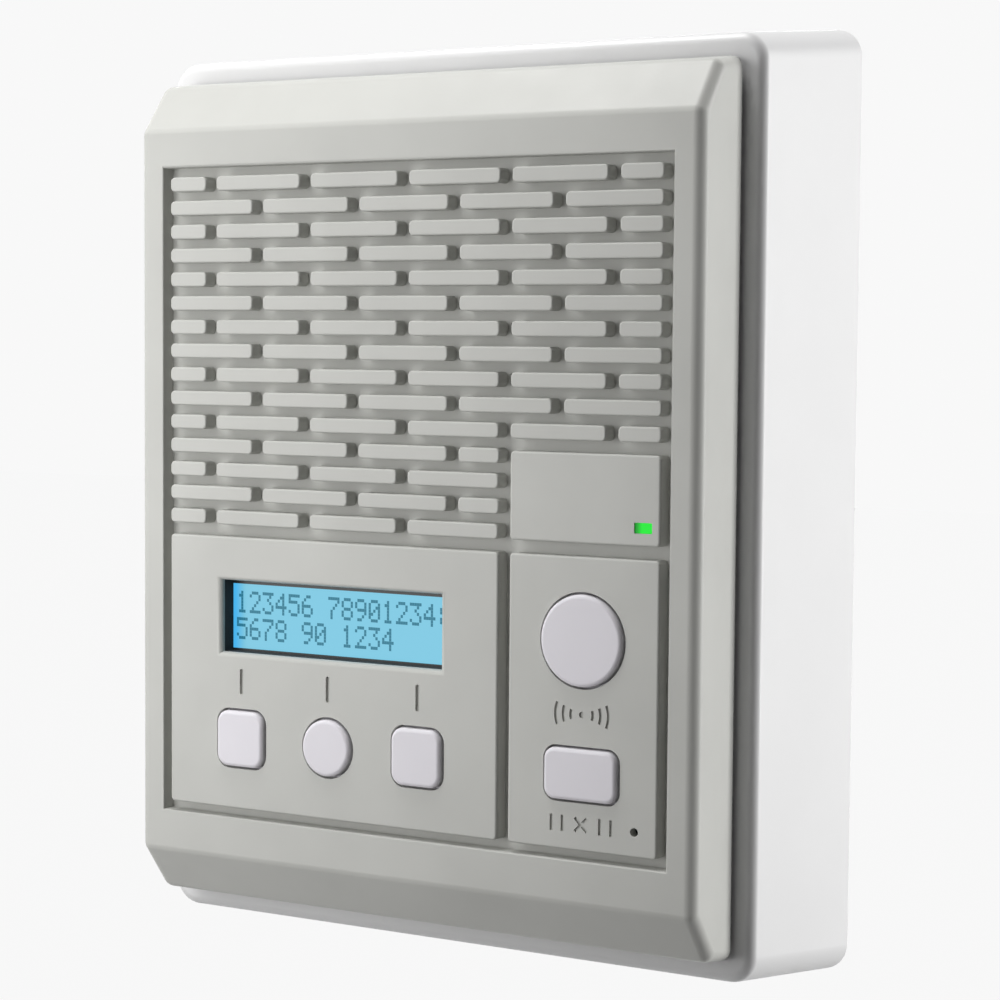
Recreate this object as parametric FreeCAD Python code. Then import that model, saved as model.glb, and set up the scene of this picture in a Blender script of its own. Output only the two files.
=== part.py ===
import FreeCAD, Part
import math
import os

# Wall-mounted wireless intercom station, in millimetres.
# The origin is the centre of the rear face that lies on the wall.
# +X is to the right of someone who faces the station, +Y goes into the wall and +Z is up.
# "depth" is the distance behind the front face, "across" and "down" start at the recess corner.

os.makedirs("parts", exist_ok=True)

# Front panel
panel_width = 141.2
panel_height = 182.2
panel_depth = 18.0
panel_wall = 2.4
panel_edge_radius = 2.5
panel_draft = 1.3
bevel_height = 10.4
bevel_depth = 7.9

# Recess in the front panel with the grille bars and the pads
recess_width = 128.0
recess_height = 144.0
recess_depth = 3.6
recess_rise = 0.45
recess_margin = 2.1
pad_gap = 2.7
pad_edge_radius = 0.5
pad_corner_radius = 0.9
lower_pad_height = 60.5
call_pad_width = 35.1
name_pad_height = 18.4

# Grille bars
bars_per_row = 5
bar_gap = 2.8
bar_height = 3.2
row_pitch = 5.25
bar_corner_radius = 1.0
bar_edge_radius = 0.4
shortest_bar = 5.0
slot_width = 1.4
slot_height = 2.4

# Window of the display and the guide marks above the three keys
window_width = 57.6
window_height = 16.0
window_edge_radius = 1.2
window_edge_steps = 4
window_corner_radius = 0.2
window_below_pad_top = 17.7
mark_width = 0.95
mark_length = 5.7
mark_depth = 0.6
mark_corner_radius = 0.42
mark_below_pad_top = 32.05

# Keys and buttons
key_size = 12.4
key_pitch = 23.2
key_corner_radius = 2.8
key_edge_radius = 0.9
key_above_pad_bottom = 15.7
call_diameter = 19.0
call_below_pad_top = 17.2
cancel_width = 17.0
cancel_height = 10.7
cancel_corner_radius = 2.4
key_proud = 1.0
key_clearance = 0.5
key_travel = 0.8
key_flange_width = 1.3
key_flange_thickness = 1.2
key_stop_gap = 0.05
stem_radius = 2.2

# Status light and microphone
light_width = 4.1
light_height = 2.2
light_corner_radius = 0.22
light_inset_side = 3.85
light_inset_bottom = 3.7
light_sunk = 0.35
led_width = 3.2
led_length = 1.8
mic_hole_radius = 0.9
mic_inset = 5.15
mic_radius = 2.0
mic_length = 1.6
mic_pin_radius = 0.25
boot_wall = 0.6
pipe_play = 0.05
pipe_shoulder = 1.5
pipe_shoulder_thickness = 1.2

# White wall box
box_front_width = 150.0
box_front_height = 194.4
box_depth = 38.5
box_draft_deg = 6.2
box_corner_radius = 6.0
box_edge_radius = 2.0
box_wall = 2.6
box_lip = 11.0
opening_corner_radius = 4.0

# Seal between the panel and the box
gasket_thickness = 1.4
gasket_width = 1.4

# Wall fixing and cable entry
wall_hole_radius = 2.25
wall_hole_spacing_x = 120.0
wall_hole_spacing_z = 160.0
entry_hole_radius = 7.5
entry_bore_radius = 5.0
entry_z = -68.0
grommet_flange = 2.5
grommet_flange_thickness = 1.6

# Panel fixing: two hooks at the top and two screws from below
hook_spacing = 80.0
hook_width = 14.0
hook_thickness = 2.5
hook_bite = 3.0
fixing_gap = 0.3
lug_spacing = 90.0
lug_size = 9.0
lug_height = 7.0
lug_reach = 12.0
panel_screw_radius = 1.5
panel_screw_head_radius = 2.8
panel_screw_head_height = 1.8
panel_screw_boss_radius = 4.2
panel_screw_bite = 5.5
screw_counterbore_depth = 2.5

# Screws of the boards and the speaker
screw_radius = 1.25
screw_head_radius = 2.4
screw_head_height = 1.7
screw_bite = 4.5
screw_play = 0.05
boss_radius = 2.3
socket_radius = 0.7

# Speaker
speaker_radius = 38.5
speaker_across = 64.0
speaker_below_recess_top = 40.6
cloth_thickness = 0.3
speaker_gasket_thickness = 1.0
basket_thickness = 1.2
basket_cone_gap = 0.9
rim_width = 5.0
basket_length = 16.0
motor_radius = 21.0
coil_radius = 10.2
coil_former_wall = 0.3
coil_winding = 0.3
coil_gap = 0.35
cone_outer_radius = 28.0
cone_thickness = 0.5
cone_front = 2.6
cone_depth = 8.6
surround_thickness = 0.5
spider_thickness = 0.4
spider_depth = 13.0
top_plate_thickness = 4.0
magnet_radius = 22.5
magnet_inner_radius = 12.5
magnet_thickness = 8.0
back_plate_thickness = 3.5
cap_rise = 3.2
cap_overlap = 1.8
cap_steps = 6
cone_lip = 1.5
basket_windows = 6
basket_window_width = 12.6
basket_window_start = 4.0
basket_window_end = 12.8
clamp_width = 8.0
clamp_length = 9.0
clamp_thickness = 1.5
clamp_angle_deg = 20.0
terminal_width = 12.0
terminal_height = 7.0

# Display module
display_board_width = 80.0
display_board_height = 36.0
board_thickness = 1.6
display_hole_inset = 2.5
display_glass_depth = 4.9
display_glass_width = 69.0
display_glass_height = 23.0
display_glass_thickness = 1.8
backlight_thickness = 2.5
strip_width = 1.8
bezel_width = 71.4
bezel_height = 26.0
bezel_sheet = 0.4
bezel_view_width = 64.5
bezel_view_height = 14.5
display_drop = 0.3
seal_width = 2.2
seal_front_depth = 1.3

# Control board, switches and light
control_board_depth = 12.0
control_board_margin = 2.0
control_leg_top_down = 70.0
control_leg_bottom_down = 118.5
switch_size = 6.0
switch_height = 3.5
switch_corner_radius = 0.5
plunger_radius = 1.6
plunger_clearance = 0.3
plunger_proud = 1.5
plunger_depth = 1.7
led_height = 1.4

# Main board in the wall box
main_board_width = 110.0
main_board_height = 104.0
main_board_z = 8.0
main_board_standoff = 6.0
main_hole_inset = 5.0
standoff_radius = 3.6
radio_width = 30.0
radio_height = 38.0
radio_board_thickness = 1.0
shield_height = 3.2
shield_sheet = 0.3
shield_side_margin = 2.0
shield_end_margin = 5.0
chip_sizes = [(14.4, 14.4, 1.5), (12.0, 7.2, 1.2), (8.4, 6.0, 1.6)]
chip_pitch = 18.0
antenna_radius = 2.6
antenna_top_gap = 5.0
antenna_base = 6.0
capacitor_radius = 4.0
capacitor_height = 11.0
capacitor_count = 3
capacitor_pitch = 10.4
capacitor_edge_radius = 0.6
terminal_block_width = 20.0
terminal_block_height = 10.0
terminal_block_depth = 11.0
terminal_ways = 4
way_radius = 1.8
way_depth = 3.0
way_screw_length = 2.0
way_slot_width = 0.6
way_slot_depth = 0.6
wire_hole_radius = 1.3
wire_hole_above_board = 3.5
ribbon_width = 22.0
ribbon_thickness = 0.9
socket_height = 5.5
socket_depth = 6.5
socket_side = 1.5
ribbon_bend = 3.6
lead_radius = 0.7
lead_spacing = 3.0
lead_drop = 18.0
lead_bend = 3.5

# Places that follow from the sizes above
front_y = -(box_depth + panel_depth)
panel_back_y = -(box_depth + gasket_thickness)
box_front_y = -box_depth
floor_depth = recess_depth + panel_wall
recess_left = -recess_width / 2
recess_top = recess_height / 2 + recess_rise
lower_pad_top = recess_height - recess_margin - lower_pad_height
lower_pad_bottom = recess_height - recess_margin
call_pad_right = recess_width - recess_margin
call_pad_left = call_pad_right - call_pad_width
display_pad_left = recess_margin
display_pad_right = call_pad_left - pad_gap
name_pad_bottom = lower_pad_top - pad_gap
name_pad_top = name_pad_bottom - name_pad_height
display_across = (display_pad_left + display_pad_right) / 2
window_down = lower_pad_top + window_below_pad_top
display_down = window_down + display_drop
key_down = lower_pad_bottom - key_above_pad_bottom
call_across = (call_pad_left + call_pad_right) / 2
call_down = lower_pad_top + call_below_pad_top
light_across = call_pad_right - light_inset_side
light_down = name_pad_bottom - light_inset_bottom
mic_across = call_pad_right - mic_inset
mic_down = lower_pad_bottom - mic_inset
flange_depth = panel_wall + key_stop_gap
switch_bore_depth = plunger_depth + key_travel + plunger_clearance
plunger_tip_depth = control_board_depth - switch_height - plunger_proud
display_board_depth = display_glass_depth + display_glass_thickness + backlight_thickness
rim_depth = floor_depth + cloth_thickness + speaker_gasket_thickness
opening_width = box_front_width - 2 * box_lip
opening_height = box_front_height - 2 * box_lip
main_board_rear_y = -box_wall - main_board_standoff
main_board_front_y = main_board_rear_y - board_thickness
main_board_top = main_board_z + main_board_height / 2
main_board_bottom = main_board_z - main_board_height / 2
hook_start_y = front_y + bevel_depth - panel_wall
screw_seat_z = -box_front_height / 2 + screw_counterbore_depth
lug_bottom_z = -opening_height / 2 + fixing_gap


def at_x(across):
    """Row X of a place measured from the left edge of the recess."""
    return recess_left + across


def at_z(down):
    """Row Z of a place measured down from the top edge of the recess."""
    return recess_top - down


def at_y(depth):
    """Row Y of a place measured back from the front face."""
    return front_y + depth


def block(x0, x1, y0, y1, z0, z1):
    """Box between two corners."""
    return Part.makeBox(x1 - x0, y1 - y0, z1 - z0, FreeCAD.Vector(x0, y0, z0))


def rod(x, z, radius, y0, y1):
    """Cylinder along Y."""
    return Part.makeCylinder(radius, y1 - y0, FreeCAD.Vector(x, y0, z), FreeCAD.Vector(0, 1, 0))


def edges_along_y(shape):
    """Straight edges that run front to back."""
    found = []
    for edge in shape.Edges:
        run = edge.Vertexes[-1].Point.sub(edge.Vertexes[0].Point)
        if abs(run.x) < 1e-6 and abs(run.z) < 1e-6 and abs(run.y) > 1e-6:
            found.append(edge)
    return found


def edges_in_plane_y(shape, y):
    """Edges that lie in the plane at one Y."""
    return [e for e in shape.Edges if abs(e.BoundBox.YMin - y) < 1e-6 and abs(e.BoundBox.YMax - y) < 1e-6]


def soft_block(x0, x1, z0, z1, y_front, y_back, corner, edge):
    """Block with rounded corners in the front view and a softened front where edge is over zero."""
    solid = block(x0, x1, y_front, y_back, z0, z1)
    solid = solid.makeFillet(corner, edges_along_y(solid))
    if edge > 0:
        solid = solid.makeFillet(edge, edges_in_plane_y(solid, y_front))
    return solid


def centred_block(x, z, width, height, y_front, y_back, corner, edge=0.0):
    """Rounded block about a centre in the front view."""
    return soft_block(x - width / 2, x + width / 2, z - height / 2, z + height / 2, y_front, y_back,
                      corner, edge)


def soft_rod(x, z, radius, y_front, y_back, edge):
    """Cylinder along Y with a rounded front edge where edge is over zero."""
    solid = rod(x, z, radius, y_front, y_back)
    if edge > 0:
        solid = solid.makeFillet(edge, edges_in_plane_y(solid, y_front))
    return solid


def rounded_wire(width, height, corner, y):
    """Rounded rectangle about the Y axis, in the plane at one Y."""
    right = width / 2
    top = height / 2
    inner_x = right - corner
    inner_z = top - corner
    slant = corner * math.sqrt(0.5)
    corners = [(1, 1), (-1, 1), (-1, -1), (1, -1)]
    edges = []
    for index, (sx, sz) in enumerate(corners):
        along_first = (right * sx, inner_z * sz) if index % 2 == 0 else (inner_x * sx, top * sz)
        along_last = (inner_x * sx, top * sz) if index % 2 == 0 else (right * sx, inner_z * sz)
        middle = ((inner_x + slant) * sx, (inner_z + slant) * sz)
        first = FreeCAD.Vector(along_first[0], y, along_first[1])
        centre = FreeCAD.Vector(middle[0], y, middle[1])
        last = FreeCAD.Vector(along_last[0], y, along_last[1])
        edges.append(Part.Arc(first, centre, last).toShape())
        next_x, next_z = corners[(index + 1) % 4]
        if index % 2 == 0:
            start = FreeCAD.Vector(inner_x * next_x, y, top * next_z)
        else:
            start = FreeCAD.Vector(right * next_x, y, inner_z * next_z)
        edges.append(Part.LineSegment(last, start).toShape())
    return Part.Wire(edges)


def drafted_block(width, height, corner, y0, y1, growth):
    """Rounded block that grows by the same amount on every side from front to back."""
    front = rounded_wire(width, height, corner, y0)
    back = rounded_wire(width + 2 * growth, height + 2 * growth, corner, y1)
    return Part.makeLoft([front, back], True, True)


def profile_x(points, x0, x1):
    """Solid with a closed outline of (y, z) points, between two X places."""
    outline = [FreeCAD.Vector(x0, y, z) for y, z in points]
    outline.append(outline[0])
    return Part.Face(Part.makePolygon(outline)).extrude(FreeCAD.Vector(x1 - x0, 0, 0))


def turned(points, x, z):
    """Solid turned about a line along Y from an outline of (radius, y) points."""
    outline = [FreeCAD.Vector(x + r, y, z) for r, y in points]
    outline.append(outline[0])
    face = Part.Face(Part.makePolygon(outline))
    return face.revolve(FreeCAD.Vector(x, 0, z), FreeCAD.Vector(0, 1, 0), 360)


def joined(shapes):
    """One shape made from several that touch or overlap."""
    return shapes[0].multiFuse(shapes[1:]).removeSplitter()


def group(shapes):
    """Separate solids that share one node."""
    return Part.makeCompound(shapes)


def rear_screw(x, z, seat_y, bite):
    """Screw driven forwards from behind, with its head's underside at seat_y."""
    shank = rod(x, z, screw_radius, seat_y - bite, seat_y)
    head = rod(x, z, screw_head_radius, seat_y, seat_y + screw_head_height)
    hollow = rod(x, z, socket_radius, seat_y + screw_head_height / 2, seat_y + screw_head_height)
    return joined([shank, head]).cut(hollow)


def front_screw(x, z, seat_y, bite):
    """Screw driven backwards from the front, with its head's underside at seat_y."""
    shank = rod(x, z, screw_radius, seat_y, seat_y + bite)
    head = rod(x, z, screw_head_radius, seat_y - screw_head_height, seat_y)
    hollow = rod(x, z, socket_radius, seat_y - screw_head_height, seat_y - screw_head_height / 2)
    return joined([shank, head]).cut(hollow)


def screw_hole(x, z, y0, y1):
    """Cutter of a hole that a board or speaker screw passes with a little play."""
    return rod(x, z, screw_radius + screw_play, y0, y1)


def grille_rows():
    """Down positions of the middle of every row of bars."""
    room = lower_pad_top - recess_margin
    count = int(room / row_pitch)
    return [recess_margin + bar_height / 2 + index * row_pitch for index in range(count)]


def grille_bars():
    """(start, end, down) of every bar, in a brick pattern that makes room for the name pad."""
    pitch = (recess_width - 2 * recess_margin + bar_gap) / bars_per_row
    bars = []
    for index, down in enumerate(grille_rows()):
        beside_name_pad = down + bar_height / 2 > name_pad_top
        limit = display_pad_right if beside_name_pad else recess_width - recess_margin
        start = recess_margin - (pitch / 2 if index % 2 == 0 else 0)
        while start < limit:
            left = max(start, recess_margin)
            right = min(start + pitch - bar_gap, limit)
            if right - left >= shortest_bar:
                bars.append((left, right, down))
            start += pitch
    return bars


def sound_slots():
    """(across, down) of the narrow slots in the floor, hidden beside the bar ends over the speaker."""
    reach = cone_outer_radius
    slots = []
    for left, right, down in grille_bars():
        across = right + bar_gap / 2
        from_middle = math.hypot(across - speaker_across, down - speaker_below_recess_top)
        limit = display_pad_right if down > name_pad_top else recess_width - recess_margin
        if from_middle < reach and across < limit:
            slots.append((across, down))
    return slots


def key_places():
    """(name, across, down) of the three keys, left to right."""
    return [("left_key", display_across - key_pitch, key_down),
            ("round_key", display_across, key_down),
            ("right_key", display_across + key_pitch, key_down)]


def button_places():
    """(name, across, down) of all five pieces that are pressed."""
    return key_places() + [("call_button", call_across, call_down), ("cancel_button", call_across, key_down)]


def button_body(name, across, down, spare, y_front, y_back, edge):
    """Body of a key or button, made larger all round by spare."""
    x = at_x(across)
    z = at_z(down)
    if name == "round_key":
        return soft_rod(x, z, key_size / 2 + spare, y_front, y_back, edge)
    if name == "call_button":
        return soft_rod(x, z, call_diameter / 2 + spare, y_front, y_back, edge)
    if name == "cancel_button":
        width = cancel_width + 2 * spare
        height = cancel_height + 2 * spare
        return centred_block(x, z, width, height, y_front, y_back, cancel_corner_radius + spare, edge)
    size = key_size + 2 * spare
    return centred_block(x, z, size, size, y_front, y_back, key_corner_radius + spare, edge)


def display_screw_places():
    """(x, z) of the four screws of the display board."""
    x = at_x(display_across)
    z = at_z(display_down)
    half_width = display_board_width / 2 - display_hole_inset
    half_height = display_board_height / 2 - display_hole_inset
    return [(x + sx * half_width, z + sz * half_height)
            for sx in (-1, 1) for sz in (-1, 1)]


def control_screw_places():
    """(x, z) of the five screws of the control board."""
    edge = boss_radius + control_board_margin
    left = at_x(display_pad_left + edge)
    low = at_z(lower_pad_bottom - edge)
    leg_left = at_x(call_pad_left + edge)
    leg_right = at_x(call_pad_right - edge)
    between = at_z((call_down + call_diameter / 2 + key_down - cancel_height / 2) / 2)
    above = at_z(lower_pad_top + edge)
    return [(left, low), (at_x(display_pad_right) - edge, low), (leg_left, between), (leg_right, between),
            (leg_left, above)]


def speaker_clamp_places():
    """(x, z, angle in degrees) of the four clamps round the speaker."""
    places = []
    for quarter in (0, 180):
        for side in (-1, 1):
            angle = quarter + side * clamp_angle_deg
            radius = speaker_radius + boss_radius + 2 * fixing_gap
            x = at_x(speaker_across) + radius * math.cos(math.radians(angle))
            z = at_z(speaker_below_recess_top) + radius * math.sin(math.radians(angle))
            places.append((x, z, angle))
    return places


def inner_bevel_z(depth):
    """Half height of the inside of the bevelled wall at a depth."""
    slope = bevel_height / bevel_depth
    flat = panel_height / 2 - bevel_height
    return flat + slope * depth - panel_wall * math.hypot(1, slope)


def panel_shell():
    """Bevelled outer shape of the panel, hollowed from behind."""
    top = panel_height / 2
    flat = top - bevel_height
    back = panel_back_y
    far = top + panel_draft
    points = [(front_y, -flat), (front_y, flat), (at_y(bevel_depth), top), (back, far), (back, -far),
              (at_y(bevel_depth), -top)]
    shell = profile_x(points, -panel_width / 2, panel_width / 2)
    soft = [e for e in shell.Edges if e.BoundBox.YMin < back - 1e-6]
    shell = shell.makeFillet(panel_edge_radius, soft)
    inner_top = top - panel_wall
    meet = bevel_depth + (inner_top - inner_bevel_z(bevel_depth)) * bevel_depth / bevel_height
    floor_z = inner_bevel_z(floor_depth)
    hollow = [(at_y(floor_depth), -floor_z), (at_y(floor_depth), floor_z), (at_y(meet), inner_top),
              (back + 1, inner_top), (back + 1, -inner_top), (at_y(meet), -inner_top)]
    inner_x = panel_width / 2 - panel_wall
    shell = shell.cut(profile_x(hollow, -inner_x, inner_x))
    for side in (-1, 1):
        near = recess_height / 2 + panel_wall + side * recess_rise
        far = inner_bevel_z(panel_wall)
        groove = [(at_y(panel_wall), side * near), (at_y(panel_wall), side * far),
                  (at_y(floor_depth), side * floor_z), (at_y(floor_depth), side * near)]
        shell = shell.cut(profile_x(groove, -inner_x, inner_x))
    recess = block(at_x(0), at_x(recess_width), front_y - 1, at_y(recess_depth), at_z(recess_height),
                   at_z(0))
    return shell.cut(recess)


def pad(left, right, top, bottom):
    """Raised pad of the panel."""
    return soft_block(at_x(left), at_x(right), at_z(bottom), at_z(top), front_y, at_y(floor_depth),
                      pad_corner_radius, pad_edge_radius)


def pad_pocket(left, right, top, bottom):
    """Cutter that hollows a pad from behind."""
    return block(at_x(left + panel_wall), at_x(right - panel_wall), at_y(panel_wall), at_y(floor_depth),
                 at_z(bottom - panel_wall), at_z(top + panel_wall))


def pad_boxes():
    """Edges of the three pads: left, right, top, bottom."""
    return [(display_pad_left, display_pad_right, lower_pad_top, lower_pad_bottom),
            (call_pad_left, call_pad_right, lower_pad_top, lower_pad_bottom),
            (call_pad_left, call_pad_right, name_pad_top, name_pad_bottom)]


def panel_bosses():
    """Posts and fixings moulded on the back of the panel."""
    posts = []
    for x, z in display_screw_places():
        posts.append(rod(x, z, boss_radius, at_y(panel_wall / 2), at_y(display_board_depth)))
    for x, z in control_screw_places():
        posts.append(rod(x, z, boss_radius, at_y(panel_wall / 2), at_y(control_board_depth)))
    for x, z, angle in speaker_clamp_places():
        posts.append(rod(x, z, boss_radius, at_y(floor_depth - panel_wall / 2),
                         at_y(rim_depth + basket_thickness)))
    hook_top = opening_height / 2 - fixing_gap
    hook_back = box_front_y + box_wall + fixing_gap + hook_thickness
    for side in (-1, 1):
        x = side * hook_spacing / 2
        posts.append(block(x - hook_width / 2, x + hook_width / 2, hook_start_y, hook_back,
                           hook_top - hook_thickness, hook_top))
        posts.append(block(x - hook_width / 2, x + hook_width / 2, hook_back - hook_thickness, hook_back,
                           hook_top - hook_thickness, hook_top + hook_bite))
        x = side * lug_spacing / 2
        posts.append(block(x - lug_size / 2, x + lug_size / 2, hook_start_y, box_front_y + lug_reach,
                           lug_bottom_z, lug_bottom_z + lug_height))
    return posts


def window_cut():
    """Cutter of the display window with its rounded front edge."""
    x = at_x(display_across)
    z = at_z(window_down)
    through = block(x - window_width / 2, x + window_width / 2, front_y - 1, at_y(floor_depth),
                    z - window_height / 2, z + window_height / 2)
    rings = []
    for index in range(window_edge_steps + 1):
        turn = math.radians(90 * index / window_edge_steps)
        grow = window_edge_radius * (1 - math.sin(turn))
        depth = window_edge_radius * (1 - math.cos(turn))
        rings.append(rounded_wire(window_width + 2 * grow, window_height + 2 * grow,
                                  window_corner_radius + grow, at_y(depth)))
    cutter = through
    for index in range(window_edge_steps):
        wedge = Part.makeLoft([rings[index], rings[index + 1]], True, True)
        wedge.translate(FreeCAD.Vector(x, 0, z))
        cutter = cutter.fuse(wedge)
    return cutter


def front_panel():
    """Grey moulding with its frame, bars and pads."""
    solids = [panel_shell()]
    for left, right, down in grille_bars():
        solids.append(soft_block(at_x(left), at_x(right), at_z(down + bar_height / 2),
                                 at_z(down - bar_height / 2), front_y, at_y(recess_depth + panel_wall / 2),
                                 bar_corner_radius, bar_edge_radius))
    for edges in pad_boxes():
        solids.append(pad(*edges))
    shape = solids[0].multiFuse(solids[1:])
    for edges in pad_boxes():
        shape = shape.cut(pad_pocket(*edges))
    x = at_x(display_across)
    z = at_z(window_down)
    spare = 2 * (seal_width + fixing_gap)
    pocket = centred_block(x, z, window_width + spare, window_height + spare, at_y(seal_front_depth),
                           at_y(floor_depth), pad_corner_radius)
    shape = shape.multiFuse(panel_bosses())
    cutters = [pocket, window_cut()]
    for name, across, down in button_places():
        cutters.append(button_body(name, across, down, key_clearance, front_y - 1, at_y(floor_depth), 0))
    for name, across, down in key_places():
        mark_z = at_z(lower_pad_top + mark_below_pad_top)
        cutters.append(centred_block(at_x(across), mark_z, mark_width, mark_length, front_y - 1,
                                     at_y(mark_depth), mark_corner_radius))
    cutters.append(centred_block(at_x(light_across), at_z(light_down), light_width, light_height,
                                 front_y - 1, at_y(floor_depth), light_corner_radius))
    cutters.append(rod(at_x(mic_across), at_z(mic_down), mic_hole_radius, front_y - 1, at_y(floor_depth)))
    for across, down in sound_slots():
        cutters.append(block(at_x(across) - slot_width / 2, at_x(across) + slot_width / 2,
                             at_y(recess_depth) - 1, at_y(floor_depth) + 1,
                             at_z(down) - slot_height / 2, at_z(down) + slot_height / 2))
    for places, depth in ((display_screw_places(), display_board_depth),
                          (control_screw_places(), control_board_depth)):
        for x, z in places:
            cutters.append(screw_hole(x, z, at_y(depth) - screw_bite, at_y(depth)))
    for x, z, angle in speaker_clamp_places():
        seat = at_y(rim_depth + basket_thickness)
        cutters.append(screw_hole(x, z, seat - screw_bite / 2, seat))
    for side in (-1, 1):
        cutters.append(lug_screw_rod(side, panel_screw_radius + screw_play, lug_bottom_z - 1,
                                     lug_bottom_z + panel_screw_bite))
    for cutter in cutters:
        shape = shape.cut(cutter)
    return shape.removeSplitter()


def panel_gasket():
    """Thin seal between the rear edge of the panel and the face of the box."""
    width = panel_width - panel_wall
    height = panel_height - panel_wall
    outer = centred_block(0, 0, width, height, panel_back_y, box_front_y, panel_edge_radius)
    inner = block(-width / 2 + gasket_width, width / 2 - gasket_width, panel_back_y, box_front_y,
                  -height / 2 + gasket_width, height / 2 - gasket_width)
    return outer.cut(inner)


def lug_screw_rod(side, radius, z0, z1):
    """Vertical cylinder on the axis of one of the two screws that hold the panel from below."""
    x = side * lug_spacing / 2
    y = box_front_y + (box_wall + lug_reach) / 2
    return Part.makeCylinder(radius, z1 - z0, FreeCAD.Vector(x, y, z0))


def panel_screws():
    """Two screws that go up through the floor of the box into the lugs of the panel."""
    tip = lug_bottom_z + panel_screw_bite - screw_play
    bottom = screw_seat_z - panel_screw_head_height
    screws = []
    for side in (-1, 1):
        shank = lug_screw_rod(side, panel_screw_radius, screw_seat_z, tip)
        head = lug_screw_rod(side, panel_screw_head_radius, bottom, screw_seat_z)
        hollow = lug_screw_rod(side, socket_radius, bottom, bottom + panel_screw_head_height / 2)
        screws.append(joined([shank, head]).cut(hollow))
    return group(screws)


def box_half_growth(y):
    """How far the outside of the box has grown at a Y place, on each side."""
    return (y - box_front_y) * math.tan(math.radians(box_draft_deg))


def back_box():
    """White drafted box with its lip, board posts, screw posts and holes."""
    outer = drafted_block(box_front_width, box_front_height, box_corner_radius, box_front_y, 0,
                          box_half_growth(0))
    outer = outer.makeFillet(box_edge_radius, edges_in_plane_y(outer, box_front_y))
    inner_y0 = box_front_y + box_wall
    inset = box_wall / math.cos(math.radians(box_draft_deg))
    inner_width = box_front_width + 2 * (box_half_growth(inner_y0) - inset)
    inner_height = box_front_height + 2 * (box_half_growth(inner_y0) - inset)
    inner = drafted_block(inner_width, inner_height, box_corner_radius - box_wall / 2, inner_y0, -box_wall,
                          box_half_growth(-box_wall) - box_half_growth(inner_y0))
    shape = outer.cut(inner)
    opening = centred_block(0, 0, opening_width, opening_height, box_front_y - 1, inner_y0 + 1,
                            opening_corner_radius)
    shape = shape.cut(opening)
    posts = []
    for x, z in main_board_places():
        posts.append(rod(x, z, standoff_radius, main_board_rear_y, -box_wall / 2))
    post_top = -opening_height / 2
    post_bottom = -box_front_height / 2 + box_wall / 2
    below = -box_front_height / 2 - box_wall
    for side in (-1, 1):
        posts.append(lug_screw_rod(side, panel_screw_boss_radius, post_bottom, post_top))
    shape = shape.multiFuse(posts)
    cutters = []
    for side in (-1, 1):
        cutters.append(lug_screw_rod(side, panel_screw_radius + fixing_gap, screw_seat_z - 1, post_top + 1))
        cutters.append(lug_screw_rod(side, panel_screw_head_radius + fixing_gap, below, screw_seat_z))
        for level in (-1, 1):
            cutters.append(rod(side * wall_hole_spacing_x / 2, level * wall_hole_spacing_z / 2,
                               wall_hole_radius, -box_wall - 1, 1))
    for x, z in main_board_places():
        cutters.append(screw_hole(x, z, main_board_rear_y - 1, main_board_rear_y + screw_bite))
    cutters.append(rod(0, entry_z, entry_hole_radius, -box_wall - 1, 1))
    for cutter in cutters:
        shape = shape.cut(cutter)
    return shape.removeSplitter()


def cable_grommet():
    """Rubber ring in the cable entry of the rear wall, with its flange inside."""
    front = -box_wall - grommet_flange_thickness
    neck = rod(0, entry_z, entry_hole_radius - screw_play, front, 0)
    flange = rod(0, entry_z, entry_hole_radius + grommet_flange, front, -box_wall)
    bore = rod(0, entry_z, entry_bore_radius, front - 1, 1)
    return joined([neck, flange]).cut(bore)


def button(name, across, down):
    """Key or button with its softened face, the flange that keeps it in and the stem behind."""
    flange_y = at_y(flange_depth)
    cap = button_body(name, across, down, 0, front_y - key_proud, flange_y + key_flange_thickness / 2,
                      key_edge_radius)
    flange = button_body(name, across, down, key_flange_width, flange_y, flange_y + key_flange_thickness, 0)
    stem = rod(at_x(across), at_z(down), stem_radius, flange_y, at_y(plunger_tip_depth))
    return joined([cap, flange, stem])


def button_plunger(across, down):
    """Plunger of the switch behind a button."""
    return rod(at_x(across), at_z(down), plunger_radius, at_y(plunger_tip_depth),
               at_y(control_board_depth - switch_height + plunger_depth))


def key_switches():
    """Bodies of the five switches, each with the bore of its plunger."""
    bodies = []
    face = at_y(control_board_depth - switch_height)
    for name, across, down in button_places():
        x = at_x(across)
        z = at_z(down)
        body = centred_block(x, z, switch_size, switch_size, face, at_y(control_board_depth),
                             switch_corner_radius)
        bore = rod(x, z, plunger_radius + plunger_clearance, face - 1, face + switch_bore_depth)
        bodies.append(body.cut(bore))
    return group(bodies)


def control_board():
    """L-shaped board behind the keys, the buttons and the status light."""
    y0 = at_y(control_board_depth)
    y1 = y0 + board_thickness
    left = display_pad_left + control_board_margin
    right = call_pad_right - control_board_margin
    low = lower_pad_bottom - control_board_margin
    corners = [(left, low), (right, low), (right, control_leg_top_down),
               (call_pad_left, control_leg_top_down), (call_pad_left, control_leg_bottom_down),
               (left, control_leg_bottom_down)]
    outline = [FreeCAD.Vector(at_x(across), y0, at_z(down)) for across, down in corners]
    outline.append(outline[0])
    shape = Part.Face(Part.makePolygon(outline)).extrude(FreeCAD.Vector(0, board_thickness, 0))
    for x, z in control_screw_places():
        shape = shape.cut(screw_hole(x, z, y0 - 1, y1 + 1))
    return shape


def control_screws():
    """Five screws of the control board."""
    seat = at_y(control_board_depth) + board_thickness
    bite = board_thickness + screw_bite - screw_play
    return group([rear_screw(x, z, seat, bite) for x, z in control_screw_places()])


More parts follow.
